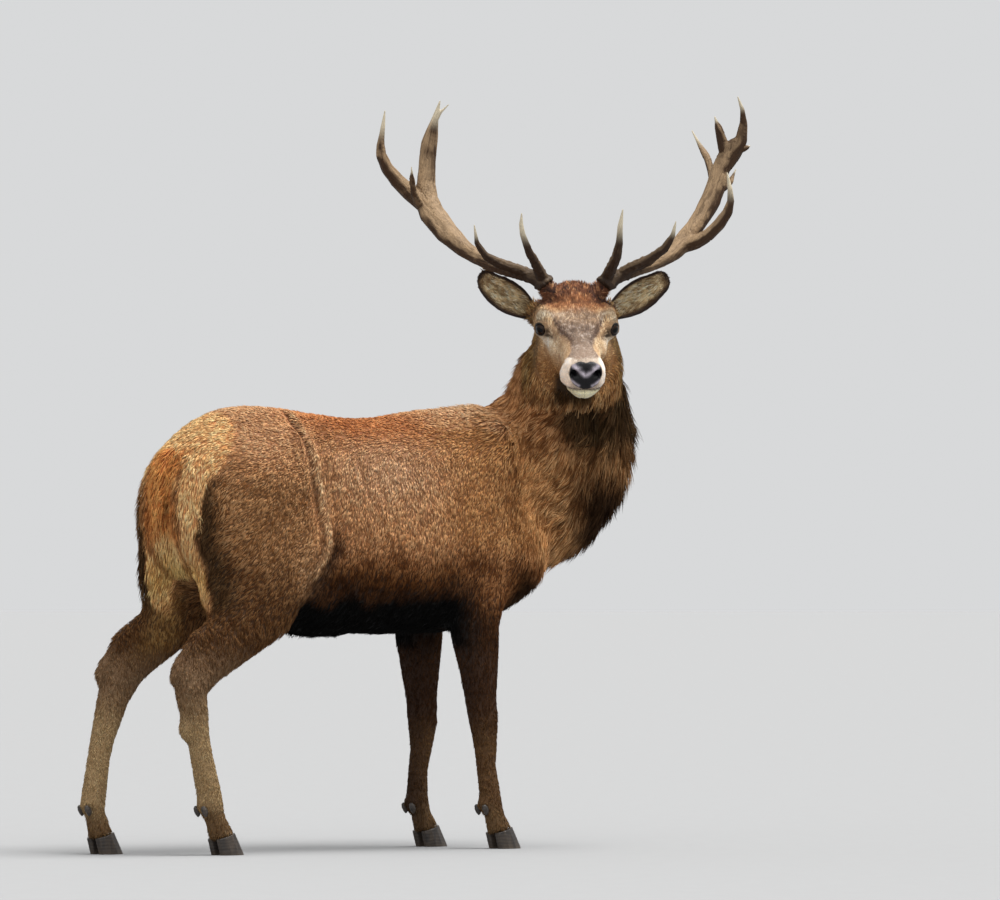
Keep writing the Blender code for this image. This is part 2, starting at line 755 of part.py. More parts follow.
BEAM_THICKNESS = 0.0195
ANTLERS = {
    "right": {
        "beam": (
            (0.072, 0.076, 0.030, 0.0225),
            (0.068, 0.084, 0.039, 0.0235),
            (0.062, 0.097, 0.047, 0.0195),
            (0.050, 0.120, 0.055, 0.0175),
            (0.030, 0.160, 0.066, 0.0165),
            (0.010, 0.200, 0.080, 0.0165),
            (-0.010, 0.242, 0.100, 0.0185),
            (-0.037, 0.287, 0.131, 0.0235),
            (-0.068, 0.330, 0.175, 0.0310),
            (-0.095, 0.366, 0.224, 0.0330),
            (-0.113, 0.381, 0.268, 0.0290),
            (-0.125, 0.381, 0.310, 0.0230),
            (-0.130, 0.378, 0.345, 0.0203),
            (-0.132, 0.375, 0.385, 0.0203),
            (-0.129, 0.372, 0.420, 0.0190),
            (-0.121, 0.365, 0.450, 0.0150),
            (-0.110, 0.357, 0.483, 0.0095),
            (-0.095, 0.345, 0.530, 0.0022),
        ),
        "brow": (
            (0.070, 0.081, 0.040, 0.0160),
            (0.103, 0.102, 0.075, 0.0138),
            (0.136, 0.129, 0.117, 0.0108),
            (0.160, 0.147, 0.160, 0.0082),
            (0.171, 0.152, 0.187, 0.0062),
            (0.180, 0.151, 0.216, 0.0022),
        ),
        "bez": (
            (0.048, 0.118, 0.056, 0.0150),
            (0.058, 0.148, 0.069, 0.0158),
            (0.082, 0.199, 0.084, 0.0142),
            (0.104, 0.241, 0.105, 0.0108),
            (0.121, 0.265, 0.138, 0.0070),
            (0.140, 0.274, 0.187, 0.0022),
        ),
        "trez": (
            (-0.110, 0.392, 0.250, 0.0180),
            (-0.110, 0.425, 0.284, 0.0200),
            (-0.101, 0.461, 0.316, 0.0180),
            (-0.089, 0.488, 0.346, 0.0150),
            (-0.076, 0.505, 0.381, 0.0112),
            (-0.066, 0.507, 0.411, 0.0092),
            (-0.055, 0.502, 0.455, 0.0068),
            (-0.045, 0.497, 0.500, 0.0022),
        ),
        "spur": (
            (-0.095, 0.401, 0.250, 0.0090),
            (-0.076, 0.417, 0.282, 0.0075),
            (-0.060, 0.423, 0.314, 0.0055),
            (-0.045, 0.426, 0.351, 0.0020),
        ),
        "second_tip": (
            (-0.112, 0.357, 0.474, 0.0065),
            (-0.103, 0.342, 0.500, 0.0045),
            (-0.095, 0.321, 0.520, 0.0020),
        ),
    },
    "left": {
        "beam": (
            (0.080, 0.078, 0.030, 0.0225),
            (0.077, 0.086, 0.038, 0.0235),
            (0.072, 0.101, 0.045, 0.0195),
            (0.066, 0.123, 0.055, 0.0175),
            (0.050, 0.164, 0.070, 0.0165),
            (0.030, 0.224, 0.092, 0.0165),
            (0.010, 0.273, 0.119, 0.0225),
            (-0.008, 0.306, 0.153, 0.0280),
            (-0.021, 0.331, 0.187, 0.0235),
            (-0.036, 0.355, 0.222, 0.0235),
            (-0.050, 0.380, 0.264, 0.0255),
            (-0.060, 0.397, 0.306, 0.0245),
            (-0.066, 0.406, 0.342, 0.0210),
            (-0.067, 0.422, 0.371, 0.0250),
            (-0.064, 0.439, 0.399, 0.0265),
            (-0.055, 0.462, 0.426, 0.0140),
            (-0.041, 0.467, 0.470, 0.0090),
            (-0.030, 0.462, 0.505, 0.0062),
            (-0.020, 0.448, 0.540, 0.0022),
        ),
        "brow": (
            (0.078, 0.081, 0.041, 0.0160),
            (0.106, 0.093, 0.069, 0.0148),
            (0.140, 0.106, 0.102, 0.0126),
            (0.166, 0.110, 0.140, 0.0095),
            (0.186, 0.110, 0.181, 0.0078),
            (0.200, 0.116, 0.227, 0.0022),
        ),
        "bez": (
            (0.066, 0.118, 0.054, 0.0155),
            (0.078, 0.146, 0.073, 0.0162),
            (0.106, 0.194, 0.094, 0.0140),
            (0.136, 0.234, 0.124, 0.0112),
            (0.158, 0.253, 0.157, 0.0078),
            (0.175, 0.260, 0.196, 0.0022),
        ),
        "trez": (
            (-0.004, 0.306, 0.138, 0.0180),
            (0.012, 0.334, 0.148, 0.0200),
            (0.026, 0.365, 0.167, 0.0165),
            (0.041, 0.392, 0.195, 0.0150),
            (0.055, 0.412, 0.226, 0.0120),
            (0.066, 0.419, 0.255, 0.0090),
            (0.076, 0.416, 0.287, 0.0073),
            (0.085, 0.407, 0.331, 0.0022),
        ),
        "back_tine": (
            (-0.072, 0.390, 0.320, 0.0105),
            (-0.094, 0.376, 0.375, 0.0078),
            (-0.108, 0.357, 0.412, 0.0058),
            (-0.111, 0.335, 0.454, 0.0022),
        ),
        "spur": (
            (-0.062, 0.400, 0.285, 0.0090),
            (-0.087, 0.436, 0.314, 0.0062),
            (-0.100, 0.454, 0.350, 0.0020),
        ),
        "inner_prong": (
            (-0.066, 0.420, 0.388, 0.0140),
            (-0.058, 0.411, 0.420, 0.0120),
            (-0.046, 0.400, 0.453, 0.0080),
            (-0.038, 0.388, 0.488, 0.0022),
        ),
        "outer_prong": (
            (-0.066, 0.448, 0.402, 0.0080),
            (-0.056, 0.470, 0.401, 0.0060),
            (-0.050, 0.487, 0.410, 0.0020),
        ),
    },
}
BEAM_SPLIT = {"right": 9, "left": 7}  # the station of the main fork, where the beam is parted
BEAM_SIDES = 9
TINE_SIDES = 7


def antler_rings(stations, side, sides):
    frame = Matrix.Translation(HEAD_TOP) @ Matrix.Rotation(HEAD_TURN, 4, "Z")
    places = [frame @ Vector((row[0], side * row[1], row[2])) for row in stations]
    ahead = frame.to_3x3() @ Vector((1, 0, 0.15))
    rings = []
    for i, row in enumerate(stations):
        along = (places[min(i + 1, len(places) - 1)] - places[max(i - 1, 0)]).normalized()
        across = along.cross(ahead).normalized()
        wide = row[3]
        thick = wide if i < 2 else min(wide, BEAM_THICKNESS)
        rings.append(oval(places[i], across, along.cross(across), wide, thick, thick, 2.0, 0.0, sides))
    return rings


def antler(side_name, side, head):
    prefix = "antler_" + side_name + "_"
    tines = ANTLERS[side_name]
    beam = antler_rings(tines["beam"], side, BEAM_SIDES)
    whole = skin_rings("whole_beam", beam)
    earlier = [whole]
    for tine, stations in tines.items():
        if tine == "beam":
            continue
        form = skin_rings(prefix + tine, antler_rings(stations, side, TINE_SIDES))
        for other in earlier:
            boolean(form, grown(other, "wider", CUT * 1.5), "DIFFERENCE")
        keep_largest(form)
        earlier.append(form)
    boolean(head, grown(whole, "wider", CUT * 1.5), "DIFFERENCE")
    bpy.data.objects.remove(whole)
    fork = BEAM_SPLIT[side_name]
    step = (beam[fork + 1][0] - beam[fork][0]).normalized() * CUT
    skin_rings(prefix + "beam_lower", beam[: fork + 1])
    skin_rings(prefix + "beam_upper", [[point + step for point in beam[fork]], *beam[fork + 1 :]])


# ---- The whole animal

# Colour, roughness of each material and the node names that wear it
MATERIALS = {
    "brown_coat": ((0.190, 0.090, 0.040), 0.85, ("trunk", "head", "tail")),
    "mane": ((0.130, 0.058, 0.026), 0.9, ("neck",)),
    "dark_coat": ((0.055, 0.032, 0.020), 0.85, ("leg_", "ear_")),
    "hoof_horn": ((0.030, 0.026, 0.022), 0.5, ("hoof_", "dewclaw_")),
    "eye": ((0.012, 0.007, 0.005), 0.05, ("eye_",)),
    "antler": ((0.210, 0.135, 0.075), 0.6, ("antler_",)),
}


def dress(solids):
    for name, (colour, roughness, wearers) in MATERIALS.items():
        for solid in solids:
            if not solid.name.startswith(wearers):
                continue
            material = bpy.data.materials.new(name)
            material.use_nodes = True
            surface = material.node_tree.nodes["Principled BSDF"]
            surface.inputs["Base Color"].default_value = (*colour, 1)
            surface.inputs["Roughness"].default_value = roughness
            surface.inputs["Metallic"].default_value = 0.0
            solid.data.materials.clear()
            solid.data.materials.append(material)
            solid.data.shade_smooth()
            solid.data.set_sharp_from_angle(angle=math.radians(50))


def settle(solids):
    """Gives each solid its own middle as its origin, and stands all of them over the floor's middle."""
    low, high = Vector((9, 9, 9)), Vector((-9, -9, -9))
    for solid in solids:
        points = [vertex.co for vertex in solid.data.vertices]
        near = Vector([min(point[i] for point in points) for i in range(3)])
        far = Vector([max(point[i] for point in points) for i in range(3)])
        low = Vector(map(min, low, near))
        high = Vector(map(max, high, far))
        middle = (near + far) / 2
        solid.data.transform(Matrix.Translation(-middle))
        solid.location = middle
    stand = bpy.data.objects.new("stand_point", None)
    bpy.context.scene.collection.objects.link(stand)
    stand.location = (-(low.x + high.x) / 2, -(low.y + high.y) / 2, -low.z)
    for solid in solids:
        solid.parent = stand


def stag():
    body = flesh()
    body.name = "trunk"
    head = part_off(body, head_region(), "head")
    legs = {}
    for leg_side, sign in LEG_SIGN.items():
        fore = leg_region(sign, 0.20, 0.47, 0.555, 0.72)
        hind = leg_region(sign, -0.80, HIND_PLACES[leg_side]["stifle"][0] + 0.128, 0.60, 0.86)
        legs["fore", leg_side] = part_off(body, fore, "leg_fore_" + leg_side)
        legs["hind", leg_side] = part_off(body, hind, "leg_hind_" + leg_side)
    part_off(body, neck_region(), "neck")
    for (end, leg_side), leg in legs.items():
        places = FORE_PLACES if end == "fore" else HIND_PLACES
        x, y, _ = places[leg_side]["coronet"]
        cut_foot(leg, (x, LEG_SIGN[leg_side] * y))
    hooves()
    dewclaws(legs)
    for side_name, side in LEG_SIGN.items():
        eye("eye_" + side_name, head, side)
    for side_name, side in LEG_SIGN.items():
        ear("ear_" + side_name, head, side)
        antler(side_name, side, head)
    tail(body)
    solids = list(bpy.context.scene.collection.objects)
    dress(solids)
    settle(solids)


clear_scene()
stag()
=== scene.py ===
import math

import bpy
import numpy as np
from mathutils import Matrix, Vector
from mathutils.bvhtree import BVHTree
from mathutils.kdtree import KDTree


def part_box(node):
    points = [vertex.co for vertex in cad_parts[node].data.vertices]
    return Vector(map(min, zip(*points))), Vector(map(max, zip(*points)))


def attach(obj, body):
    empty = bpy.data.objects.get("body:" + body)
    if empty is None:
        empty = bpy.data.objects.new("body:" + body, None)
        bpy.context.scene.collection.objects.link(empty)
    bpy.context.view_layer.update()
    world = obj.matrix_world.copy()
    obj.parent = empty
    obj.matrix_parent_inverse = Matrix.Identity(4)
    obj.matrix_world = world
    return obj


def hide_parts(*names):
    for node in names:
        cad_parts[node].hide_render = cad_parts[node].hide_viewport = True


print("reading the frame")
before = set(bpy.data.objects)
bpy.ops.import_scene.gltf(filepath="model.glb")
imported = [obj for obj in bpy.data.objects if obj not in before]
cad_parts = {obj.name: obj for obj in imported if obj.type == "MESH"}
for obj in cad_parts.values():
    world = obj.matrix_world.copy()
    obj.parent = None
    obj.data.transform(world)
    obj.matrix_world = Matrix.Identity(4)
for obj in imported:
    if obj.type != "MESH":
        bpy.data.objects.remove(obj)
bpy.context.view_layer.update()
bpy.ops.object.select_all(action="DESELECT")

# How the animal stands: places are in its own coordinates, x forward, y to its left, z up from the floor
stance = {
    "headTop": (0.641, -0.133, 1.469),
    "headTurn": -120,
    "headPitch": 23,
    "eye": (0.163, 0.090, -0.027),  # along the nose, aside, up from the bridge
    "eyeLook": (0.79, 0.60, 0.07),
    "earBase": (0.022, 0.090, -0.046),
    "earAlong": {-1: (-0.088, 0.163, 0.080), 1: (-0.088, 0.180, 0.082)},
    "earOpening": (0.80, 0.24, 0.40),
    "earRaise": {-1: 0.010, 1: 0.003},
    "seed": 7,
}
fleshNodes = [
    "trunk", "neck", "head", "tail", "ear_left", "ear_right",
    "leg_fore_left", "leg_fore_right", "leg_hind_left", "leg_hind_right",
]
chance = np.random.default_rng(stance["seed"])


def middleOf(node):
    low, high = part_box(node)
    return (low + high) / 2


headAxes = Matrix.Rotation(math.radians(stance["headTurn"]), 4, "Z")
headAxes = headAxes @ Matrix.Rotation(math.radians(stance["headPitch"]), 4, "Y")
eyesMiddle = (middleOf("eye_left") + middleOf("eye_right")) / 2
headAt = eyesMiddle - headAxes.to_3x3() @ Vector((stance["eye"][0], 0, stance["eye"][2]))
headFrame = Matrix.Translation(headAt) @ headAxes
standAt = np.array(headAt - Vector(stance["headTop"]))
headRows = np.array(headAxes.to_3x3())


def ownPlaces(points):
    return points - standAt


def headPlaces(points):
    return (points - np.array(headAt)) @ headRows


def ramp(low, high, values):
    share = np.clip((values - low) / (high - low), 0, 1)
    return share * share * (3 - 2 * share)


def bell(values, wide):
    return np.exp(-((values / wide) ** 2))


def blob(points, centre, radii):
    away = (points - np.array(centre)) / np.array(radii)
    return np.exp(-(away**2).sum(1))


def unit(vectors):
    return vectors / np.maximum(np.linalg.norm(vectors, axis=1, keepdims=True), 1e-9)


def softNoise(points, size, seed):
    cells = points / size
    corner = np.floor(cells).astype(np.int64)
    part = cells - corner
    part = part * part * (3 - 2 * part)
    total = np.zeros(len(points))
    for i in range(8):
        step = np.array([i & 1, i >> 1 & 1, i >> 2 & 1])
        key = (corner + step) @ np.array([73856093, 19349663, 83492791]) + seed * 2654435
        key = (key ^ (key >> 13)) * 1274126177 & 0xFFFFFFFF
        value = ((key ^ (key >> 16)) & 0xFFFF) / 65535
        total += value * np.prod(np.where(step, part, 1 - part), axis=1)
    return total * 2 - 1


def readRows(items, name, width, kind=np.float32):
    flat = np.empty(len(items) * width, kind)
    items.foreach_get(name, flat)
    return flat.reshape(-1, width)


def pointsOf(mesh):
    return readRows(mesh.vertices, "co", 3).astype(float)


def normalsOf(mesh):
    return readRows(mesh.vertices, "normal", 3).astype(float)


def setPoints(mesh, points):
    mesh.vertices.foreach_set("co", points.astype(np.float32).ravel())
    mesh.update()


def trianglesOf(mesh):
    mesh.calc_loop_triangles()
    return readRows(mesh.loop_triangles, "vertices", 3, np.int32)


def meshFrom(name, points, faces):
    mesh = bpy.data.meshes.new(name)
    mesh.vertices.add(len(points))
    mesh.vertices.foreach_set("co", points.astype(np.float32).ravel())
    mesh.loops.add(faces.size)
    mesh.loops.foreach_set("vertex_index", faces.astype(np.int32).ravel())
    mesh.polygons.add(len(faces))
    mesh.polygons.foreach_set("loop_start", np.arange(len(faces), dtype=np.int32) * faces.shape[1])
    mesh.update(calc_edges=True)
    mesh.shade_smooth()
    made = bpy.data.objects.new(name, mesh)
    bpy.context.scene.collection.objects.link(made)
    return made


def paint(mesh, name, colours):
    layer = mesh.attributes.new(name, "FLOAT_COLOR", "POINT")
    filled = np.ones((len(colours), 4), np.float32)
    filled[:, :3] = np.clip(colours, 0, 1)
    layer.data.foreach_set("color", filled.ravel())


def mark(mesh, name, values):
    mesh.attributes.new(name, "FLOAT", "POINT").data.foreach_set("value", values.astype(np.float32))


def chooseOnly(piece):
    bpy.ops.object.select_all(action="DESELECT")
    piece.select_set(True)
    bpy.context.view_layer.objects.active = piece


def editAll(piece, operator, **values):
    chooseOnly(piece)
    bpy.ops.object.mode_set(mode="EDIT")
    bpy.ops.mesh.select_all(action="SELECT")
    operator(**values)
    bpy.ops.object.mode_set(mode="OBJECT")


def joinedCopies(nodes, name):
    bpy.ops.object.select_all(action="DESELECT")
    for node in nodes:
        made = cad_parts[node].copy()
        made.data = made.data.copy()
        made.parent = None
        for key in list(made.keys()):
            del made[key]
        bpy.context.scene.collection.objects.link(made)
        made.select_set(True)
        bpy.context.view_layer.objects.active = made
    if len(nodes) > 1:
        bpy.ops.object.join()
    piece = bpy.context.view_layer.objects.active
    piece.name = piece.data.name = name
    piece.data.materials.clear()
    editAll(piece, bpy.ops.mesh.remove_doubles, threshold=0.00005)
    return piece


def finishWith(piece, kind, **values):
    step = piece.modifiers.new(kind, kind)
    for key, value in values.items():
        setattr(step, key, value)
    chooseOnly(piece)
    bpy.ops.object.modifier_apply(modifier=step.name)


def smoothWhere(piece, name, weights, turns):
    group = piece.vertex_groups.new(name=name)
    steps = np.round(weights * 8).astype(int)  # the weights in eighths
    for level in range(1, 9):
        chosen = np.nonzero(steps == level)[0].tolist()
        if chosen:
            group.add(chosen, level / 8, "REPLACE")
    finishWith(piece, "SMOOTH", factor=0.5, iterations=turns, vertex_group=name)


def isHead(own, inHead):
    return np.minimum(
        ramp(-0.13, -0.09, inHead[:, 0] + inHead[:, 2]) * ramp(0.32, 0.29, np.abs(inHead[:, 1])),
        np.minimum(ramp(-0.25, -0.21, inHead[:, 2]), ramp(1.12, 1.16, own[:, 2])),
    )


def isNeck(own, head):
    return ramp(0.32, 0.62, own[:, 0] + 0.35 * (own[:, 2] - 1)) * ramp(0.66, 0.86, own[:, 2]) * (1 - head)


def headShare(points):
    return isHead(ownPlaces(points), headPlaces(points))


print("skin")
skinLook = {
    "voxel": 0.0027,
    "bodyTurns": 220,
    "legTurns": 40,
    "faceTurns": 9,
    "triangles": 165000,
    "depth": {"body": 0.008, "neck": 0.016, "leg": 0.003, "face": 0.0022, "ear": 0.0008},
}


def coatDepth(points):
    own = ownPlaces(points)
    inHead = headPlaces(points)
    head = isHead(own, inHead)
    depth = skinLook["depth"]
    legs = 1 - ramp(0.54, 0.70, own[:, 2])
    values = depth["body"] + (depth["neck"] - depth["body"]) * isNeck(own, head)
    values = values + (depth["leg"] - values) * legs
    values = values + (depth["face"] - values) * head
    ear = head * ramp(0.100, 0.125, np.abs(inHead[:, 1])) * ramp(-0.10, -0.08, inHead[:, 2])
    return values + (depth["ear"] - values) * ear


def press(points, frameOf, centre, radii, shove):
    away = (frameOf - np.array(centre)) / np.array(radii)
    fade = np.clip(1 - (away**2).sum(1), 0, 1) ** 2
    return points + fade[:, None] * (headRows @ np.array(shove))


def makeSkin():
    skin = joinedCopies(fleshNodes, "skin")
    finishWith(skin, "REMESH", mode="VOXEL", voxel_size=skinLook["voxel"], use_smooth_shade=True)
    points = pointsOf(skin.data)
    head, legs = headShare(points), 1 - ramp(0.56, 0.66, ownPlaces(points)[:, 2])
    smoothWhere(skin, "body", (1 - head) * (1 - legs), skinLook["bodyTurns"])
    smoothWhere(skin, "legs", legs, skinLook["legTurns"])
    smoothWhere(skin, "face", head, skinLook["faceTurns"])
    points = pointsOf(skin.data)
    points -= normalsOf(skin.data) * coatDepth(points)[:, None]
    setPoints(skin.data, points)
    shapeFace(skin)
    shapeFlank(skin)
    roundEars(skin)
    group = skin.vertex_groups.new(name="thin")
    group.add(np.nonzero(headShare(pointsOf(skin.data)) < 0.5)[0].tolist(), 1.0, "REPLACE")
    before = len(trianglesOf(skin.data))
    finishWith(skin, "DECIMATE", vertex_group="thin", ratio=skinLook["triangles"] / before)
    skin.vertex_groups.clear()
    print("skin triangles", before, len(trianglesOf(skin.data)))
    return skin


def foldLine(z):
    line = -0.152 - 0.026 * ramp(0.84, 1.02, z) - 0.020 * ramp(1.02, 1.12, z)
    return line - 0.052 * ramp(0.82, 0.68, z)


def flankSide(y, z, low, high):  # where the skin fold in front of the thigh runs
    return ramp(0.10, 0.14, y + 0.8 * np.maximum(0, z - 1.03)) * ramp(low, high, z) * ramp(1.165, 1.14, z)


def shapeFlank(skin):
    points, normals = pointsOf(skin.data), normalsOf(skin.data)
    own = ownPlaces(points)
    x, y, z = own[:, 0], np.abs(own[:, 1]), own[:, 2]
    away = x - foldLine(z)
    behindShare = 0.55 * ramp(0.76, 0.84, z) + 0.45 * ramp(0.98, 1.06, z)
    fold = 0.0055 * bell(away, 0.013) * ramp(0.70, 0.84, z)
    fold += -0.0060 * bell(away - 0.022, 0.018) * ramp(0.90, 0.78, z)
    fold += -0.0060 * bell(away + 0.021, 0.013) * behindShare
    ribs = 0.0012 * np.sin((x + 0.25 * z) / 0.042 * 2 * math.pi) * ramp(-0.14, -0.05, x)
    ribs *= ramp(0.16, 0.10, x)
    ribs *= ramp(0.12, 0.16, y) * ramp(0.74, 0.80, z) * ramp(1.02, 0.96, z)
    brisket = 0.021 * blob(own, (0.765, -0.02, 0.825), (0.105, 0.13, 0.075))
    shove = fold * flankSide(y, z, 0.64, 0.72) + ribs + brisket
    setPoints(skin.data, points + normals * shove[:, None])


def shapeFace(skin):
    points = pointsOf(skin.data)
    for side in (-1, 1):
        for centre, radii, shove in (
            ((0.424, side * 0.0295, -0.051), (0.022, 0.0115, 0.0120), (-0.019, side * 0.004, 0)),  # nostril
            ((0.422, side * 0.0370, -0.061), (0.018, 0.0070, 0.0110), (-0.010, 0, 0)),
            ((0.428, side * 0.0170, -0.041), (0.022, 0.0150, 0.0110), (0.0046, 0, 0.001)),  # nostril rims
            ((0.424, side * 0.0270, -0.079), (0.022, 0.0130, 0.0080), (0.0028, 0, 0)),
            ((0.424, side * 0.0430, -0.048), (0.020, 0.0070, 0.0140), (0.0014, side * 0.0018, 0)),
            ((0.214, side * 0.083, -0.036), (0.022, 0.016, 0.0065), (0, side * -0.007, 0)),  # gland pit
            ((0.345, side * 0.056, -0.0985), (0.085, 0.026, 0.0045), (0, side * -0.005, 0)),  # mouth
            ((0.350, side * 0.050, -0.089), (0.080, 0.026, 0.008), (0, side * 0.0018, 0)),
            ((0.175, side * 0.076, 0.012), (0.040, 0.024, 0.014), (0, side * 0.003, 0.003)),  # brow
            ((0.375, side * 0.054, -0.078), (0.060, 0.030, 0.036), (0, side * 0.0010 - 0.0034, 0)),  # lip
        ):
            points = press(points, headPlaces(points), centre, radii, shove)
    points = press(points, headPlaces(points), (0.425, 0, -0.0985), (0.030, 0.050, 0.0042), (-0.007, 0, 0))
    points = press(points, headPlaces(points), (0.432, 0, -0.078), (0.018, 0.0026, 0.026), (-0.0030, 0, 0))
    setPoints(skin.data, points)


def earFrame(side):
    along = Vector(stance["earAlong"][side])
    along.y *= side
    opening = Vector(stance["earOpening"])
    opening.y *= side
    opening = (opening - along.normalized() * opening.dot(along.normalized())).normalized()
    base = Vector(stance["earBase"])
    base.y *= side
    return np.array(base), np.array(along), np.array(opening)


def roundEars(skin):
    points = pointsOf(skin.data)
    inHead = headPlaces(points)
    for node, side in (("ear_right", -1), ("ear_left", 1)):
        base, along, opening = earFrame(side)
        across = np.cross(opening, along) / np.linalg.norm(along)
        share = ((inHead - base) @ along) / (along @ along)
        aside = (inHead - base) @ across
        tip = (share > 0.70) & (share < 1.2) & (side * inHead[:, 1] > 0.14) & (np.abs(aside) < 0.06)
        middle = aside[tip & (share > 0.93)].mean()
        widen = (0.42 * ramp(0.74, 0.97, share) * (aside - middle))[:, None] * (headRows @ across)
        shorten = (-0.022 * ramp(0.93, 1.0, share))[:, None] * (headRows @ along)
        upward = (stance["earRaise"][side] * side * ramp(0.72, 1.0, share))[:, None] * (headRows @ across)
        points[tip] += (widen + shorten + upward)[tip]
    setPoints(skin.data, points)


skin = makeSkin()


def nearness(points, node, reach):
    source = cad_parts[node]
    tree = BVHTree.FromPolygons(pointsOf(source.data).tolist(), trianglesOf(source.data).tolist())
    low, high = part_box(node)
    inside = ((points > np.array(low) - reach) & (points < np.array(high) + reach)).all(1)
    found = np.zeros(len(points), bool)
    for index in np.nonzero(inside)[0]:
        found[index] = tree.find_nearest(Vector(points[index]), reach)[0] is not None
    return found


def bodyParts(points, normals):
    own, inHead = ownPlaces(points), headPlaces(points)
    parts = {"own": own, "inHead": inHead, "normals": normals, "head": isHead(own, inHead)}
    parts["neck"] = isNeck(own, parts["head"])
    u, w = inHead[:, 0], inHead[:, 2]
    parts["nearNeck"] = ramp(-0.01, -0.125, u + w + 0.6 * np.minimum(w + 0.12, 0))
    parts["tail"] = nearness(points, "tail", 0.010).astype(float)
    for key in ("ear", "earInside", "earRim", "earTip", "earMiddle"):
        parts[key] = np.zeros(len(points))
    parts["earAlong"] = np.zeros((len(points), 3))
    for node, side in (("ear_right", -1), ("ear_left", 1)):
        near = nearness(points, node, 0.0045)
        near &= ~nearness(points, "head", 0.0035)
        base, along, opening = earFrame(side)
        share = ((inHead - base) @ along) / (along @ along)
        across = (inHead - base) @ np.cross(opening, along) / np.linalg.norm(along)
        parts["ear"][near] = 1
        parts["earTip"][near] = share[near]
        parts["earAlong"][near] = headRows @ along
        parts["earInside"][near] = ramp(0.15, 0.45, normals @ (headRows @ opening))[near]
        rows = np.clip((share * 24).astype(int), 0, 23)
        for row in np.unique(rows[near]):
            here = near & (rows == row)
            low, high = across[here].min(), across[here].max()
            gap = np.minimum(across[here] - low, high - across[here])
            under = across[here] - low if side > 0 else high - across[here]
            parts["earRim"][here] = np.maximum(ramp(0.0110, 0.0060, gap), 0.85 * ramp(0.021, 0.006, under))
            parts["earMiddle"][here] = gap * 2 / max(high - low, 0.001)
    return parts


print("markings")
coatTints = {
    "back": (164, 96, 56),
    "withers": (200, 146, 108),
    "croup": (182, 130, 92),
    "flank": (168, 116, 77),
    "lowFlank": (78, 44, 16),
    # partly the dark belly fur, partly painted shade under the body
    "belly": (3, 2, 1),
    "shoulder": (156, 106, 65),
    "lowShoulder": (112, 72, 42),
    "haunch": (134, 94, 60),
    "thigh": (80, 53, 30),
    "rump": (232, 162, 106),
    "stripe": (60, 41, 23),
    # painted highlight along the ridge of the flank fold
    "fold": (220, 168, 122),
    "foldShade": (40, 24, 14),
    "tail": (204, 122, 66),
    "hock": (106, 81, 57),
    "hindShin": (140, 114, 80),
    "foreLeg": (54, 32, 16),
    "foreShin": (82, 57, 33),
    "pastern": (96, 72, 46),
    "neck": (134, 95, 60),
    "nape": (144, 98, 62),
    "throat": (24, 16, 5),
    "chest": (35, 21, 10),
    "cheek": (184, 142, 100),
    "jaw": (150, 106, 64),
    "bridge": (130, 110, 94),
    "bridgeLine": (68, 48, 38),
    "forehead": (138, 88, 56),
    "crown": (98, 60, 40),
    "crownDark": (40, 25, 22),
    "eyeRing": (136, 117, 93),
    "eyeLine": (24, 17, 12),
    "underEye": (234, 214, 186),
    "muzzle": (172, 154, 137),
    "muzzleSide": (244, 222, 200),
    "paleCheek": (194, 158, 122),
    "midForehead": (152, 124, 99),
    "temple": (112, 84, 50),
    # painted highlight on the ridges of the wet nose pad
    "noseHighlight": (186, 176, 186),
    "saddle": (186, 140, 105),
    "rumpLow": (190, 146, 84),
    # painted shadow beside the tail
    "crease": (84, 56, 28),
    # painted shade beside and under the tail
    "tailShadow": (96, 56, 26),
    "chin": (226, 217, 178),
    "lip": (40, 32, 28),
    "nose": (12, 10, 14),
    "earBack": (104, 74, 46),
    "earInside": (255, 222, 170),
    "earDeep": (104, 74, 46),
    "earRim": (30, 18, 15),
}


def plainTint(values):  # from 0 to 255 colour values to the shader's own scale
    return ((np.array(values) / 255 + 0.055) / 1.055) ** 2.4


def lay(colours, *layers):  # each layer is a tint and the share of it
    for name, share in layers:
        colours += (plainTint(coatTints[name]) - colours) * np.clip(share, 0, 1)[:, None]


def rumpLine(own):
    z = own[:, 2]
    near = -0.540 + 0.100 * ramp(0.93, 1.07, z) + 0.040 * ramp(1.03, 1.13, z) + 0.040 * ramp(0.83, 0.70, z)
    far = -0.600 + 0.110 * ramp(0.95, 1.06, z) + 0.010 * ramp(0.83, 0.72, z)
    return near + (far - near) * ramp(0.066, 0.100, own[:, 1])


def strokeNear(places, start, end, wide):
    start, stroke = np.array(start), np.array(end) - np.array(start)
    along = np.clip(((places - start) @ stroke) / (stroke @ stroke), 0, 1)
    return bell(np.linalg.norm(places - start - along[:, None] * stroke, axis=1), wide)


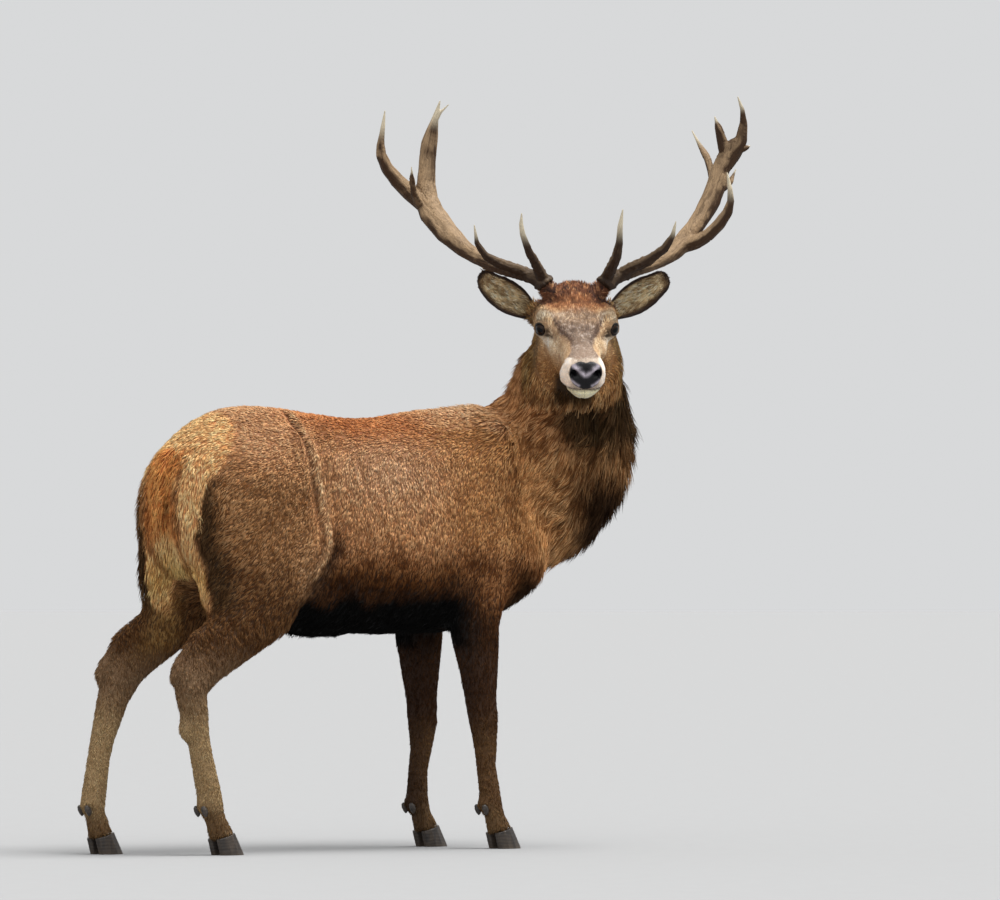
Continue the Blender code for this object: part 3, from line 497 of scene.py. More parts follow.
def markings(points, parts):
    own, neck = parts["own"], parts["neck"]
    x, side, z = own.T
    y = np.abs(side)
    wander = softNoise(points, 0.06, 3) * 0.022 + softNoise(points, 0.022, 4) * 0.010
    zed, ex = z + wander, x + wander
    colours = np.tile(plainTint(coatTints["flank"]), (len(points), 1))
    haunch, foreHalf = ramp(-0.15, -0.22, ex), ramp(0.12, 0.30, ex)
    lay(
        colours,
        ("back", ramp(1.04, 1.14, zed) * 0.85),
        ("croup", ramp(-0.10, -0.34, ex) * ramp(0.98, 1.08, zed)),
        ("lowFlank", ramp(0.86, 0.70, zed)),
        ("shoulder", foreHalf * ramp(0.75, 0.85, zed)),
        ("lowShoulder", foreHalf * ramp(0.84, 0.70, zed)),
        ("haunch", haunch * ramp(1.06, 0.94, zed)),
        ("thigh", haunch * ramp(0.86, 0.62, zed)),
    )
    away, fold = x - foldLine(z), flankSide(y, z, 0.66, 0.71)
    shade = (0.50 + 0.35 * ramp(1.00, 1.08, z)) * (1 - 0.4 * (side > 0))
    ridgeHighlight = 0.62 * ramp(0.70, 0.78, z) * (1 - 0.5 * (side > 0))
    # the light fold tint on the ridge and the flap is a painted highlight, halved on the far side;
    # foldShade is painted shade in the crease
    lay(
        colours,
        ("foldShade", bell(away + 0.014, 0.0070) * fold * shade),
        ("foldShade", bell(away - 0.024, 0.022) * fold * ramp(0.90, 0.80, z) * 0.9),
        ("fold", bell(away + 0.04 * wander, 0.0080) * fold * ridgeHighlight),
        ("fold", bell(x + 0.205, 0.045) * bell(z - 0.75, 0.085) * ramp(0.10, 0.14, y) * 0.16),
        ("saddle", bell(x - 0.03, 0.16) * bell(z - 1.0, 0.085) * ramp(0.08, 0.13, y) * 0.75),
    )
    edge = rumpLine(own) + wander * 0.3
    past = (x - edge) / (0.030 + 0.03 * ramp(0.95, 0.75, z))
    stripe = ramp(-0.15, 0.15, past) * ramp(1.7, 0.45, past) * ramp(0.60, 0.68, zed) * ramp(1.02, 0.93, zed)
    hind, fore = ramp(-0.10, -0.20, x), ramp(0.1, 0.2, x)
    # the near-black belly tint, also laid on the inner thighs, is partly dark fur and partly painted shade
    # under the body and between the legs
    belly = ramp(0.690, 0.645, zed) * ramp(-0.27, -0.20, x) * ramp(0.33, 0.26, x) * ramp(0.52, 0.56, z)
    inner = ramp(0.10, 0.05, y) * ramp(0.68, 0.62, z) * ramp(0.50, 0.56, z) * ramp(-0.30, -0.25, x)
    lay(
        colours,
        ("rump", ramp(edge + 0.008, edge - 0.008, x) * ramp(0.62, 0.70, zed) * ramp(1.20, 1.12, zed)),
        ("stripe", stripe * ramp(0.05, 0.08, y)),
        ("thigh", ramp(0.68, 0.58, zed) * hind),
        ("hock", ramp(0.56, 0.46, zed) * hind),
        ("hindShin", ramp(0.42, 0.32, zed) * hind),
        ("foreLeg", ramp(0.70, 0.60, zed) * fore),
        ("foreShin", ramp(0.38, 0.28, zed) * fore),
        ("pastern", ramp(0.14, 0.08, zed)),
        ("foldShade", ramp(0.755, 0.680, zed) * ramp(-0.24, -0.17, x) * ramp(0.36, 0.28, x) * 0.8),
        ("withers", ramp(0.10, 0.30, x) * ramp(1.10, 1.16, zed) * 0.8),
        ("belly", np.maximum(belly, inner)),
    )
    neck = neck * ramp(0.44, 0.60, ex + 0.35 * (z - 1))
    front = ramp(0.57, 0.70, ex + 0.25 * (z - 1.1))
    underChin = np.minimum(1, 1.5 * blob(own, (0.635, -0.180, 1.150), (0.055, 0.060, 0.055)))
    lay(
        colours,
        ("neck", neck),
        ("nape", neck * ramp(0.64, 0.56, x + 0.4 * (z - 1.2)) * ramp(1.0, 1.15, z)),
        ("throat", neck * front * ramp(1.02, 1.16, z) * 0.9),
        ("throat", neck * underChin * 0.85),
        ("chest", np.maximum(neck, ramp(0.50, 0.60, x)) * front * ramp(1.10, 0.98, zed)),
        ("chest", ramp(0.40, 0.50, x) * ramp(0.80, 0.72, zed)),
    )
    rear = ramp(-0.490, -0.520, x)
    low = rear * ramp(0.86, 0.74, zed + 0.5 * y) * ramp(0.66, 0.72, zed) * (x < edge)
    inside = ramp(-0.44, -0.50, x) * ramp(-0.10, -0.06, side) * ramp(0.10, 0.07, side) * ramp(0.48, 0.56, z)
    lay(colours, ("rumpLow", low * 0.8), ("rumpLow", inside * ramp(0.72, 0.66, z) * 0.2))
    # painted shadow: dark strokes down each side of the tail, where it meets the buttocks
    for turn in (-1, 1):
        line = np.c_[turn * side, z]
        crease = strokeNear(line, (0.076, 1.03), (0.083, 0.85), 0.008)
        crease = crease + strokeNear(line, (0.083, 0.85), (0.030, 0.72), 0.011)
        lay(colours, ("crease", np.minimum(crease, 1) * rear * 0.75))
    dock = ramp(0.076, 0.064, y + 0.010 * softNoise(points, 0.02, 6)) * rear
    dock *= ramp(0.82, 0.87, z + 0.30 * y) * ramp(1.085, 1.045, zed)
    # painted shade: darker beside the tail and on its lower end
    tailShadowShare = np.maximum(bell(y - 0.066, 0.018) * bell(z - 0.90, 0.075), parts["tail"] * ramp(0.90, 0.84, z))
    lay(colours, ("tail", np.maximum(parts["tail"], dock * 0.9)), ("tailShadow", tailShadowShare * rear * 0.75))
    faceMarkings(colours, parts, wander)
    return colours


def faceMarkings(colours, parts, wander):
    inHead, head, nearNeck = parts["inHead"], parts["head"], parts["nearNeck"]
    u, v, w = inHead[:, 0], np.abs(inHead[:, 1]), inHead[:, 2]
    uu, ww = u + wander * 0.5, w + wander * 0.35
    place, eye = np.c_[u, v, w], np.array(stance["eye"])
    speckle = softNoise(inHead, 0.0060, 10)
    # painted shade: the pale cheek and under-eye patches are dimmed on the animal's left side
    leftSideShadeFactor = 1 - 0.40 * (inHead[:, 1] > 0)
    above = ramp(-0.07, -0.03, w)

    def patch(centre, radii, strength):
        return np.minimum(1, strength * blob(place, centre, radii))

    vee = 0.079 - 0.024 * ramp(0.155, 0.205, u) - 0.024 * ramp(0.20, 0.29, u) + 0.016 * ramp(0.32, 0.39, u)
    within = ramp(vee + 0.006, vee - 0.006, v + wander * 0.2) * ramp(-0.055, -0.03, w)
    specks = within * ramp(0.02, 0.35, speckle) * ramp(0.34, 0.22, uu) * ramp(0.15, 0.17, uu)
    veeLine = bell(v - vee + 0.004, 0.0075) * ramp(0.13, 0.16, u) * ramp(0.34, 0.27, u)
    edge = ramp(0.184, 0.140, uu + 0.30 * v + 0.010 * speckle)
    darkTufts = ramp(0.05, 0.40, softNoise(inHead, 0.009, 8)) * ramp(0.145, 0.09, uu)
    lightTufts = ramp(0.20, 0.50, softNoise(inHead, 0.006, 13)) * ramp(0.150, 0.12, uu)
    start = 0.400 - 0.042 * ramp(0.020, 0.050, v) - 0.012 * ramp(-0.05, -0.08, w)
    soft = 0.006 + 0.006 * ramp(-0.03, -0.06, w)
    muzzle = ramp(start - soft, start + soft, uu) * ramp(-0.125, -0.10, w)
    for name, share in (
        ("cheek", 1),
        ("jaw", ramp(-0.07, -0.13, ww) * ramp(0.36, 0.26, uu)),
        ("neck", nearNeck * ramp(-0.02, -0.08, w) * 0.85),
        ("nape", nearNeck * ramp(-0.06, -0.02, w)),
        ("throat", ramp(-0.120, -0.145, w) * ramp(0.062, 0.042, v) * ramp(0.36, 0.33, u) * 0.9),
        ("temple", ramp(0.13, 0.10, uu) * ramp(0.080, 0.095, v)),
        ("paleCheek", patch((0.250, 0.064, -0.038), (0.090, 0.042, 0.040), 1.9) * leftSideShadeFactor),
        ("midForehead", within * ramp(0.145, 0.165, uu)),
        ("bridge", within * ramp(0.19, 0.225, uu)),
        ("bridgeLine", specks * 0.6),
        ("bridgeLine", veeLine * 0.82 * ramp(-0.065, -0.045, w)),
        ("eyeRing", patch((0.152, 0.096, 0.006), (0.031, 0.026, 0.019), 1.4)),
        ("underEye", patch((0.184, 0.086, -0.056), (0.034, 0.038, 0.016), 1.6) * leftSideShadeFactor),
        ("forehead", edge * ramp(-0.05, -0.01, w) * ramp(0.092, 0.074, v)),
        ("crown", ramp(0.132, 0.098, uu) * above * ramp(0.100, 0.085, v)),
        ("flank", lightTufts * above * 0.7),
        ("crownDark", darkTufts * above * 0.85),
        ("eyeLine", blob(place, eye + (0.031, -0.010, -0.010), (0.017, 0.02, 0.0065)) * 0.95),
        ("eyeLine", blob(place, eye + (0.028, -0.008, 0.002), (0.009, 0.010, 0.011)) * 0.9),
        ("muzzle", muzzle),
        ("muzzleSide", muzzle * ramp(0.030, 0.046, v)),
        ("chin", ramp(0.325, 0.375, uu) * ramp(-0.098, -0.106, w) * ramp(-0.148, -0.138, ww)),
        ("lip", bell(u - 0.40, 0.06) * bell(w + 0.0985, 0.0034) * 0.95),
    ):
        lay(colours, (name, head * share))
    pad, front = head * nosePad(inHead), np.c_[v, w]
    # painted highlight: pale grey strokes on the nostril ridges of the nose pad
    noseHighlightStrokes = strokeNear(front, (0.002, -0.057), (0.032, -0.033), 0.0056)
    noseHighlightStrokes = noseHighlightStrokes + strokeNear(front, (0.037, -0.073), (0.018, -0.086), 0.0034) * 0.9
    ear, inside, rim, tip = (parts[key] for key in ("ear", "earInside", "earRim", "earTip"))
    streak = ramp(-0.20, 0.30, softNoise(inHead, 0.0065, 9) + 0.5 * softNoise(inHead, 0.016, 12))
    bed = inside * ramp(0.98, 0.70, tip) * ramp(0.05, 0.22, tip) * (1 - rim)
    bed = bed * ramp(0.0, 0.45, parts["earMiddle"])
    lay(
        colours,
        ("nose", pad),
        ("noseHighlight", pad * noseHighlightStrokes * (0.85 + 0.3 * speckle)),
        ("earBack", ear),
        ("earDeep", ear * inside),
        ("earInside", ear * bed * (0.25 + 0.75 * streak)),
        ("earRim", ear * np.maximum(rim, ramp(0.88, 0.95, tip)) * 0.95),
    )


def nosePad(inHead):
    u, v, w = inHead[:, 0], np.abs(inHead[:, 1]), inHead[:, 2]
    tall = np.clip((w + 0.0585 + 0.003 * ramp(0.014, 0.0, v)) / 0.0365, -1, 1)
    reach = 0.0440 * (1 - np.abs(tall) ** 3.4) ** 0.45 * (1 - 0.30 * np.maximum(0, -tall))
    return ramp(reach + 0.0015, reach - 0.0015, v) * ramp(0.388, 0.394, u)


def lieOf(parts):  # the way the hair lies
    own, normals, head, neck = (parts[key] for key in ("own", "normals", "head", "neck"))
    x, z, w = own[:, 0], own[:, 2], parts["inHead"][:, 2]
    underside = ramp(-0.3, -0.7, normals[:, 2]) * ramp(0.50, 0.56, z)
    lie = np.tile((-1.0, 0.0, -0.20), (len(own), 1))
    for direction, share in (
        ((-0.34, 0, -0.94), ramp(1.12, 1.00, z) * ramp(-0.28, -0.15, x)),
        ((-0.50, 0, -0.85), ramp(0.10, 0.35, x) * ramp(1.08, 0.90, z)),
        ((-0.25, 0, -1.0), ramp(0.42, 0.56, x) * ramp(1.15, 0.95, z)),
        ((-0.75, 0, -0.62), ramp(-0.15, -0.32, x) * ramp(1.10, 0.92, z)),
        ((-0.15, 0, -1.0), ramp(-0.46, -0.56, x) * ramp(1.16, 1.02, z)),
        ((-0.12, 0, -1.0), ramp(0.66, 0.56, z) * (1 - underside)),
        ((-0.30, 0, -0.95), neck),
        ((-0.85, 0, -0.60), neck * ramp(0.60, 0.50, x + 0.4 * (z - 1.2))),
        (headRows @ (-1.0, 0, 0), head),
        (headRows @ (-1.0, 0, -0.45), head * ramp(-0.05, -0.10, w)),
        ((-0.30, 0, -0.95), head * parts["nearNeck"] * ramp(-0.02, -0.10, w)),
        ((-0.05, 0, -1.0), parts["tail"]),
    ):
        lie += (np.array(direction) - lie) * np.clip(share, 0, 1)[:, None]
    ear = parts["ear"][:, None]
    lie = lie * (1 - ear) + parts["earAlong"] * ear
    lie -= normals * (lie * normals).sum(1, keepdims=True)
    return unit(lie)


def eyeAxes(side):
    x, y, z = stance["eyeLook"]
    look = Vector((x, side * y, z)).normalized()
    across = Vector((0, 0, 1)).cross(look).normalized()
    return np.array([across, look.cross(across), look])


lidLook = {
    "half": (0.0192, 0.0146),
    "lower": 0.86,
    "stand": 0.0020,
    "reach": 0.0150,
    "turns": 72,
    "clear": 0.0262,
    "steps": (0.0, 0.0008, 0.0020, 0.0036, 0.0060, 0.0090, 0.0120, 0.0150),
}


def lidEdge(angle, side):
    wide, tall = lidLook["half"]
    flat = math.cos(angle)
    corner = max(0, side * flat) ** 3 * 0.0092  # the corner by the tear line
    tall *= (1.0 if math.sin(angle) > 0 else lidLook["lower"]) * (1 - 0.45 * flat**4)
    return wide * flat + side * corner, tall * math.sin(angle) - corner * 0.8


def makeLids(node, side, tree):
    centre = np.array(middleOf(node))
    rows = eyeAxes(side) @ headRows.T
    radius, turns, reach = eyeLook["radius"], lidLook["turns"], lidLook["reach"]

    def ballHeight(a, b):
        return math.sqrt(max(radius**2 - a * a - b * b, 1e-8))

    edges, outs, grounds = [], [], []
    for index in range(turns):
        a, b = lidEdge(2 * math.pi * index / turns, side)
        out = np.array((a, b)) / math.hypot(a, b)
        far = np.array((a, b)) + out * reach
        start = Vector(centre + rows[0] * far[0] + rows[1] * far[1] + rows[2] * 0.06)
        hit = tree.ray_cast(start, Vector(-rows[2]), 0.12)[0]
        edges.append((a, b))
        outs.append(out)
        grounds.append(0.06 - (start - hit).length - 0.0012)
    grounds = np.array(grounds)
    for _ in range(4):
        grounds = (np.roll(grounds, 1) + grounds * 2 + np.roll(grounds, -1)) / 4
    columns, ring = [], []
    for step, extra in enumerate((-0.0030, -0.0008) + lidLook["steps"] + (None,)):
        for index in range(turns):
            a, b = edges[index]
            out = outs[index]
            lid = ballHeight(a, b) + lidLook["stand"] * (1.25 if b > 0 else 0.8)
            if extra is None:
                place, height = np.array((a, b)) + out * reach, grounds[index] - 0.008
            elif extra < 0:
                place = np.array((a, b)) * (1 + extra * 8)
                height = ballHeight(*place) - (0.0026 if step == 0 else -0.0003)
            else:
                share = extra / reach
                share = share * share * (3 - 2 * share)
                place = np.array((a, b)) + out * extra
                crease = -0.0014 * math.exp(-(((extra - 0.0052) / 0.0016) ** 2)) * (1 if b > 0 else 0.4)
                height = lid + (grounds[index] - lid) * share + crease
            columns.append(centre + rows[0] * place[0] + rows[1] * place[1] + rows[2] * height)
            ring.append(step)
    points, ring = np.array(columns), np.array(ring)
    faces = []
    count = len(points) // turns
    for row in range(count):
        here, after = row * turns, (row + 1) % count * turns
        for index in range(turns):
            ahead = (index + 1) % turns
            faces.append((here + index, here + ahead, after + ahead, after + index))
    lids = meshFrom("lids_" + node[4:], points, np.array(faces))
    editAll(lids, bpy.ops.mesh.normals_make_consistent, inside=False)
    mark(lids.data, "lid", 1 + ring)
    return lids


def addLids(skin):
    mark(skin.data, "lid", np.zeros(len(skin.data.vertices)))
    tree = BVHTree.FromPolygons(pointsOf(skin.data).tolist(), trianglesOf(skin.data).tolist())
    made = [makeLids(node, side, tree) for node, side in (("eye_left", 1), ("eye_right", -1))]
    chooseOnly(skin)
    for lids in made:
        lids.select_set(True)
    bpy.ops.object.join()
    skin.data.shade_smooth()


eyeLook = {
    "radius": 0.0206,
    "iris": 0.0135,
    "pupil": (0.0102, 0.0064),
    "bulge": 0.0016,
    "white": (0.0035, 0.0026, 0.0022),
    "brown": (0.0090, 0.0042, 0.0020),
}
addLids(skin)
skin.data.uv_layers.new(name="OFBake")
editAll(skin, bpy.ops.uv.smart_project, angle_limit=1.15, island_margin=0.001)
skinPoints, skinNormals, skinTriangles = pointsOf(skin.data), normalsOf(skin.data), trianglesOf(skin.data)
skinParts = bodyParts(skinPoints, skinNormals)
skinColours = markings(skinPoints, skinParts)
skinNose = skinParts["head"] * nosePad(skinParts["inHead"])
lidRing = readRows(skin.data.attributes["lid"].data, "value", 1)[:, 0]
lidRim = (lidRing > 0.5) * ramp(7.2, 6.0, lidRing)
lay(skinColours, ("eyeLine", lidRim))
bareLegs = 0.28 * ramp(0.60, 0.48, skinPoints[:, 2])  # the skin shows more where the fur is short
bareNose = 0.40 * skinParts["head"] * ramp(0.25, 0.38, skinParts["inHead"][:, 0])
paint(skin.data, "coat", skinColours * (0.60 + bareLegs + bareNose)[:, None])
mark(skin.data, "bare", np.maximum(skinNose, lidRim * 0.8))


def newMaterial(name, roughness, specular=0.5):
    material = bpy.data.materials.new(name)
    material.use_nodes = True
    shader = material.node_tree.nodes["Principled BSDF"]
    shader.inputs["Roughness"].default_value = roughness
    shader.inputs["Specular IOR Level"].default_value = specular
    return material, material.node_tree, shader


def objectPlace(tree):
    return tree.nodes.new("ShaderNodeTexCoord").outputs["Object"]


def attribute(tree, name, output="Color"):
    node = tree.nodes.new("ShaderNodeAttribute")
    node.attribute_name = name
    return node.outputs[output]


def stretched(tree, source, scale):
    mapping = tree.nodes.new("ShaderNodeMapping")
    mapping.inputs["Scale"].default_value = scale
    tree.links.new(source, mapping.inputs["Vector"])
    return mapping.outputs["Vector"]


def addNoise(tree, source, scale, detail):
    noise = tree.nodes.new("ShaderNodeTexNoise")
    noise.inputs["Scale"].default_value = scale
    noise.inputs["Detail"].default_value = detail
    tree.links.new(source, noise.inputs["Vector"])
    return noise.outputs["Fac"]


def spread(tree, source, low, high, fromLow=0.0, fromHigh=1.0):
    node = tree.nodes.new("ShaderNodeMapRange")
    for name, value in (("From Min", fromLow), ("From Max", fromHigh), ("To Min", low), ("To Max", high)):
        node.inputs[name].default_value = value
    tree.links.new(source, node.inputs["Value"])
    return node.outputs["Result"]


def shadeBy(tree, shader, colour, factor):
    shade = tree.nodes.new("ShaderNodeVectorMath")
    shade.operation = "SCALE"
    tree.links.new(colour, shade.inputs[0])
    tree.links.new(factor, shade.inputs["Scale"])
    tree.links.new(shade.outputs[0], shader.inputs["Base Color"])


def addBump(tree, shader, height, strength, distance):
    bump = tree.nodes.new("ShaderNodeBump")
    bump.inputs["Strength"].default_value = strength
    bump.inputs["Distance"].default_value = distance
    tree.links.new(height, bump.inputs["Height"])
    tree.links.new(bump.outputs["Normal"], shader.inputs["Normal"])


def skinMaterial():
    material, tree, shader = newMaterial("skin", 0.75, 0.22)
    grain = addNoise(tree, objectPlace(tree), 620, 4)
    shadeBy(tree, shader, attribute(tree, "coat"), spread(tree, grain, 0.50, 1.50, 0.30, 0.70))
    tree.links.new(spread(tree, attribute(tree, "bare", "Fac"), 0.80, 0.27), shader.inputs["Roughness"])
    addBump(tree, shader, grain, 0.6, 0.0012)
    return material


skin.data.materials.append(skinMaterial())
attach(skin, "root")
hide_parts(*fleshNodes)

print("eyes")


def makeEye(node, side):
    centre = middleOf(node)
    radius = eyeLook["radius"]
    bpy.ops.mesh.primitive_uv_sphere_add(segments=72, ring_count=48, radius=radius, location=centre)
    eye = bpy.context.view_layer.objects.active
    eye.name = eye.data.name = "eyeball_" + node[4:]
    bpy.ops.object.transform_apply(location=True, rotation=True, scale=True)
    rows = eyeAxes(side) @ headRows.T
    points = pointsOf(eye.data) - np.array(centre)
    local = points @ rows.T
    away = np.hypot(local[:, 0], local[:, 1])
    cornea = np.clip(1 - (away / (eyeLook["iris"] * 1.15)) ** 2, 0, 1) * (local[:, 2] > 0)
    points = points + rows[2] * (cornea * eyeLook["bulge"])[:, None]
    setPoints(eye.data, points + np.array(centre))
    front = local[:, 2] > 0
    iris = ramp(eyeLook["iris"] + 0.0006, eyeLook["iris"] - 0.0006, away) * front
    wide, tall = eyeLook["pupil"]
    pupil = ramp(1.08, 0.92, np.hypot(local[:, 0] / wide, local[:, 1] / tall)) * front
    white, brown = np.array(eyeLook["white"]), np.array(eyeLook["brown"])
    brown = brown * (1 + 0.9 * ramp(0.004, 0.012, away)[:, None])
    colours = white + (brown - white) * iris[:, None]
    colours = colours * (1 - pupil[:, None]) + 0.0006 * pupil[:, None]
    paint(eye.data, "look", colours)
    eye.data.shade_smooth()
    return eye


def eyeMaterial():
    material, tree, shader = newMaterial("wet_eye", 0.06, 0.15)
    threads = spread(tree, addNoise(tree, objectPlace(tree), 900, 2), 0.7, 1.3)
    shadeBy(tree, shader, attribute(tree, "look"), threads)
    return material


wetEye = eyeMaterial()
for node, side in (("eye_left", 1), ("eye_right", -1)):
    eye = makeEye(node, side)
    eye.data.materials.append(wetEye)
    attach(eye, "root")
    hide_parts(node)


print("coat")
coatLook = {
    "trunk": {"tufts": 52000, "rings": 1, "slot": "coat"},
    "hindquarters": {"tufts": 40000, "rings": 1, "slot": "coat"},
    "mane": {"tufts": 36000, "rings": 2, "slot": "mane"},
    "legs": {"tufts": 30000, "rings": 1, "slot": "leg_coat"},
    "face": {"tufts": 40000, "rings": 1, "slot": "coat"},
    "ears": {"tufts": 14000, "rings": 1, "slot": "ear_coat"},
    "patch": 0.0030,
    "mostTriangles": 190000,
}
tuftLook = {  # length, width and lift in degrees, where None leaves what is there
    "body": (0.020, 0.0028, 16),
    "belly": (0.030, None, None),
    "rump": (0.030, None, None),
    "fringe": (0.038, None, 23),
    "chest": (0.045, None, None),
    "neck": (0.052, 0.0029, 19),
    "mane": (0.082, None, None),
    "brisket": (0.068, None, None),
    "leg": (0.015, 0.0021, 11),
    "shin": (0.011, None, None),
    "pastern": (0.015, None, None),
    "tail": (0.036, None, None),
    "face": (0.0055, 0.0010, 8.5),
    "ear": (0.0045, 0.0013, 7),
}
tuftRings = {  # how far along each ring stands, and how wide it is
    1: ((0.0, 0.0), (0.42, 1.0), (1.0, 0.0)),
    2: ((0.0, 0.0), (0.30, 1.0), (0.66, 0.8), (1.0, 0.0)),
}


def tuftSizes(parts):
    own, neck, nearNeck = (parts[key] for key in ("own", "neck", "nearNeck"))
    x, y, z = own.T
    u, w = parts["inHead"][:, 0], parts["inHead"][:, 2]
    sizes = [np.full(len(own), float(value)) for value in tuftLook["body"]]

    def grade(targets, share):
        for values, target in zip(sizes, targets):
            if target is not None:
                values += (target - values) * np.clip(share, 0, 1)

    fringe = ramp(0.085, 0.11, y) * ramp(-0.42, -0.50, x) * ramp(0.62, 0.68, z) * ramp(1.00, 0.92, z)
    for key, share in (
        ("belly", ramp(0.66, 0.60, z) * ramp(-0.2, -0.6, parts["normals"][:, 2])),
        ("rump", ramp(-0.46, -0.54, x) * ramp(0.62, 0.72, z)),
        ("fringe", fringe),
        ("chest", ramp(0.42, 0.56, x) * ramp(1.2, 0.9, z)),
        ("neck", neck),
        ("mane", neck * ramp(0.60, 0.72, x + 0.25 * (z - 1.1)) * ramp(1.34, 1.18, z)),
        ("brisket", ramp(0.50, 0.60, x) * ramp(1.00, 0.92, z) * ramp(0.70, 0.78, z)),
        ("leg", ramp(0.62, 0.50, z)),
        ("shin", ramp(0.40, 0.30, z)),
        ("pastern", ramp(0.13, 0.09, z)),
        ("tail", parts["tail"]),
    ):
        grade(tuftLook[key], share)
    short, thin, flat = tuftLook["face"]
    length = short + 0.0045 * ramp(0.36, 0.12, u) + 0.011 * ramp(0.09, 0.02, u) * ramp(-0.08, -0.04, w)
    length = length + 0.007 * ramp(-0.10, -0.17, w) * ramp(0.33, 0.20, u) + 0.018 * nearNeck
    lift = flat + 12 * ramp(0.09, 0.03, u) * ramp(-0.08, -0.03, w) + 5 * nearNeck
    grade((length, thin + 0.06 * (length - short), lift), parts["head"])
    short, thin, flat = tuftLook["ear"]
    hollow = parts["earInside"] * (1 - parts["earRim"]) * ramp(0.90, 0.70, parts["earTip"])
    grade((short + 0.012 * hollow, thin, flat + 10 * hollow), parts["ear"])
    return sizes[0], sizes[1], np.radians(sizes[2])


def eyeClear(inHead):
    clear = np.ones(len(inHead))
    for side in (-1, 1):
        across, upward, look = eyeAxes(side)
        away = inHead - np.array(stance["eye"]) * (1, side, 1)
        near = (away @ look > -0.02) & (np.hypot(away @ across, away @ upward) < lidLook["clear"])
        clear[near & (lidRing < 0.5)] = 0
    clear[(lidRing > 0.5) & ((lidRing < 7) | (lidRing > 10.5))] = 0
    return clear


def tuftRegions(parts):
    x, z = parts["own"][:, 0], parts["own"][:, 2]
    legs = z < 0.56
    ears = parts["ear"] > 0.5
    face = (parts["head"] > 0.5) & ~ears
    mane = ~legs & ~face & ~ears & (np.maximum(parts["neck"], ramp(0.42, 0.52, x)) > 0.5)
    hind = ~legs & (x < -0.19)
    trunk = ~(legs | ears | face | mane | hind)
    return {"trunk": trunk, "hindquarters": hind, "mane": mane, "legs": legs, "face": face, "ears": ears}


def scatter(chosen, count):
    corners = skinPoints[skinTriangles[chosen]]
    areas = np.linalg.norm(np.cross(corners[:, 1] - corners[:, 0], corners[:, 2] - corners[:, 0]), axis=1)
    weights = np.cumsum(areas * skinNeed[chosen])
    marks = (np.arange(count) + chance.random(count)) / count * weights[-1]
    picked = chosen[np.minimum(np.searchsorted(weights, marks), len(chosen) - 1)]
    shares = np.sqrt(chance.random(count))
    other = chance.random(count)
    weights3 = np.c_[1 - shares, shares * (1 - other), shares * other]
    return picked, weights3


def mixCorners(values, picked, shares):
    return (values[skinTriangles[picked]] * shares[:, :, None]).sum(1)


def tuftLie(roots, normals, parts, gather, level):  # neighbouring tufts lean together into locks
    step = 0.0015
    slope = np.stack([softNoise(roots + np.eye(3)[i] * step, gather, 11) - level for i in range(3)], 1)
    slope = slope / step * gather
    slope -= normals * (slope * normals).sum(1, keepdims=True)
    flow = np.stack([softNoise(roots, 0.05, 21 + i) for i in range(3)], 1)
    flow = flow * (0.22 + 0.22 * parts["neck"])[:, None]
    along = unit(lieOf(parts) + flow + slope * 0.22 + chance.normal(0, 0.10, (len(roots), 3)))
    return unit(along - normals * (along * normals).sum(1, keepdims=True))


def tuftPoints(roots, normals, along, length, width, lift, rings):
    across = np.cross(normals, along)
    sway = chance.normal(0, 0.05, len(roots)) * length
    columns, strand = [], []
    for share, girth in tuftRings[rings]:
        centre = roots - normals * 0.0012 * (1 - share)
        centre = centre + along * (length * share * np.cos(lift))[:, None]
        rise = length * np.sin(lift) * (share - 0.45 * share * share) * 1.35
        centre = centre + normals * rise[:, None] + across * (sway * share * share)[:, None]
        if girth == 0:
            columns.append(centre)
            strand.append((0.5, share))
            continue
        half = (width * girth / 2)[:, None]
        tall = half * 0.34
        columns += [centre + across * half - normals * tall, centre + normals * tall * 1.6]
        columns.append(centre - across * half - normals * tall)
        strand += [(0.0, share), (0.5, share), (1.0, share)]
    return np.stack(columns, 1), np.array(strand)


def tuftFaces(size):
    starts = list(range(1, size - 1, 3))
    faces = []
    for corner in range(3):
        after = (corner + 1) % 3
        faces.append((0, starts[0] + after, starts[0] + corner))
        faces.append((size - 1, starts[-1] + corner, starts[-1] + after))
        for low, high in zip(starts, starts[1:]):
            faces.append((low + corner, low + after, high + after))
            faces.append((low + corner, high + after, high + corner))
    return np.array(faces)


def tuftColours(roots, parts, level, strand):
    head, z = parts["head"], roots[:, 2]
    colours = markings(roots, parts)
    calm = 1 - 0.55 * head * ramp(0.30, 0.38, parts["inHead"][:, 0]) - 0.55 * ramp(0.60, 0.45, z)
    calm = calm + 0.75 * parts["neck"] - 0.30 * ramp(-0.22, -0.34, parts["own"][:, 0])
    mottle = 0.62 * softNoise(roots, 0.0055, 32) + 0.46 * softNoise(roots, 0.014, 33)
    mottle = mottle + 0.34 * softNoise(roots, 0.045, 31)
    # the level term darkens tufts in the low gaps between locks: painted shade
    vivid = chance.normal(0, 0.36, len(roots)) + 0.34 * level + 1.15 * mottle * calm
    most = 0.42 + 0.50 * head
    bright = 1.06 * np.exp(np.where(vivid > 0, most * np.tanh(vivid / most), 1.1 * np.tanh(vivid / 1.1)))
    warm = chance.normal(0, 0.05, len(roots))[:, None, None] * np.array((1.0, 0.2, -0.8))
    pale = ramp(0.10, 0.45, colours[:, :1])
    power = np.array((1.0, 1.22, 1.45)) * (1 - pale) + pale * np.array((0.8, 0.85, 0.92))
    colours = colours * (1 - 0.14 * ramp(0.60, 0.48, z))[:, None] * bright[:, None] ** power
    # lighter towards the tip: partly the lighter hair tips, partly painted shade at the roots
    colours = colours[:, None, :] * (1.06 + 0.94 * strand[:, 1])[None, :, None]
    return (0.95 * np.tanh(colours / 0.95) * (1 + warm)).reshape(-1, 3)


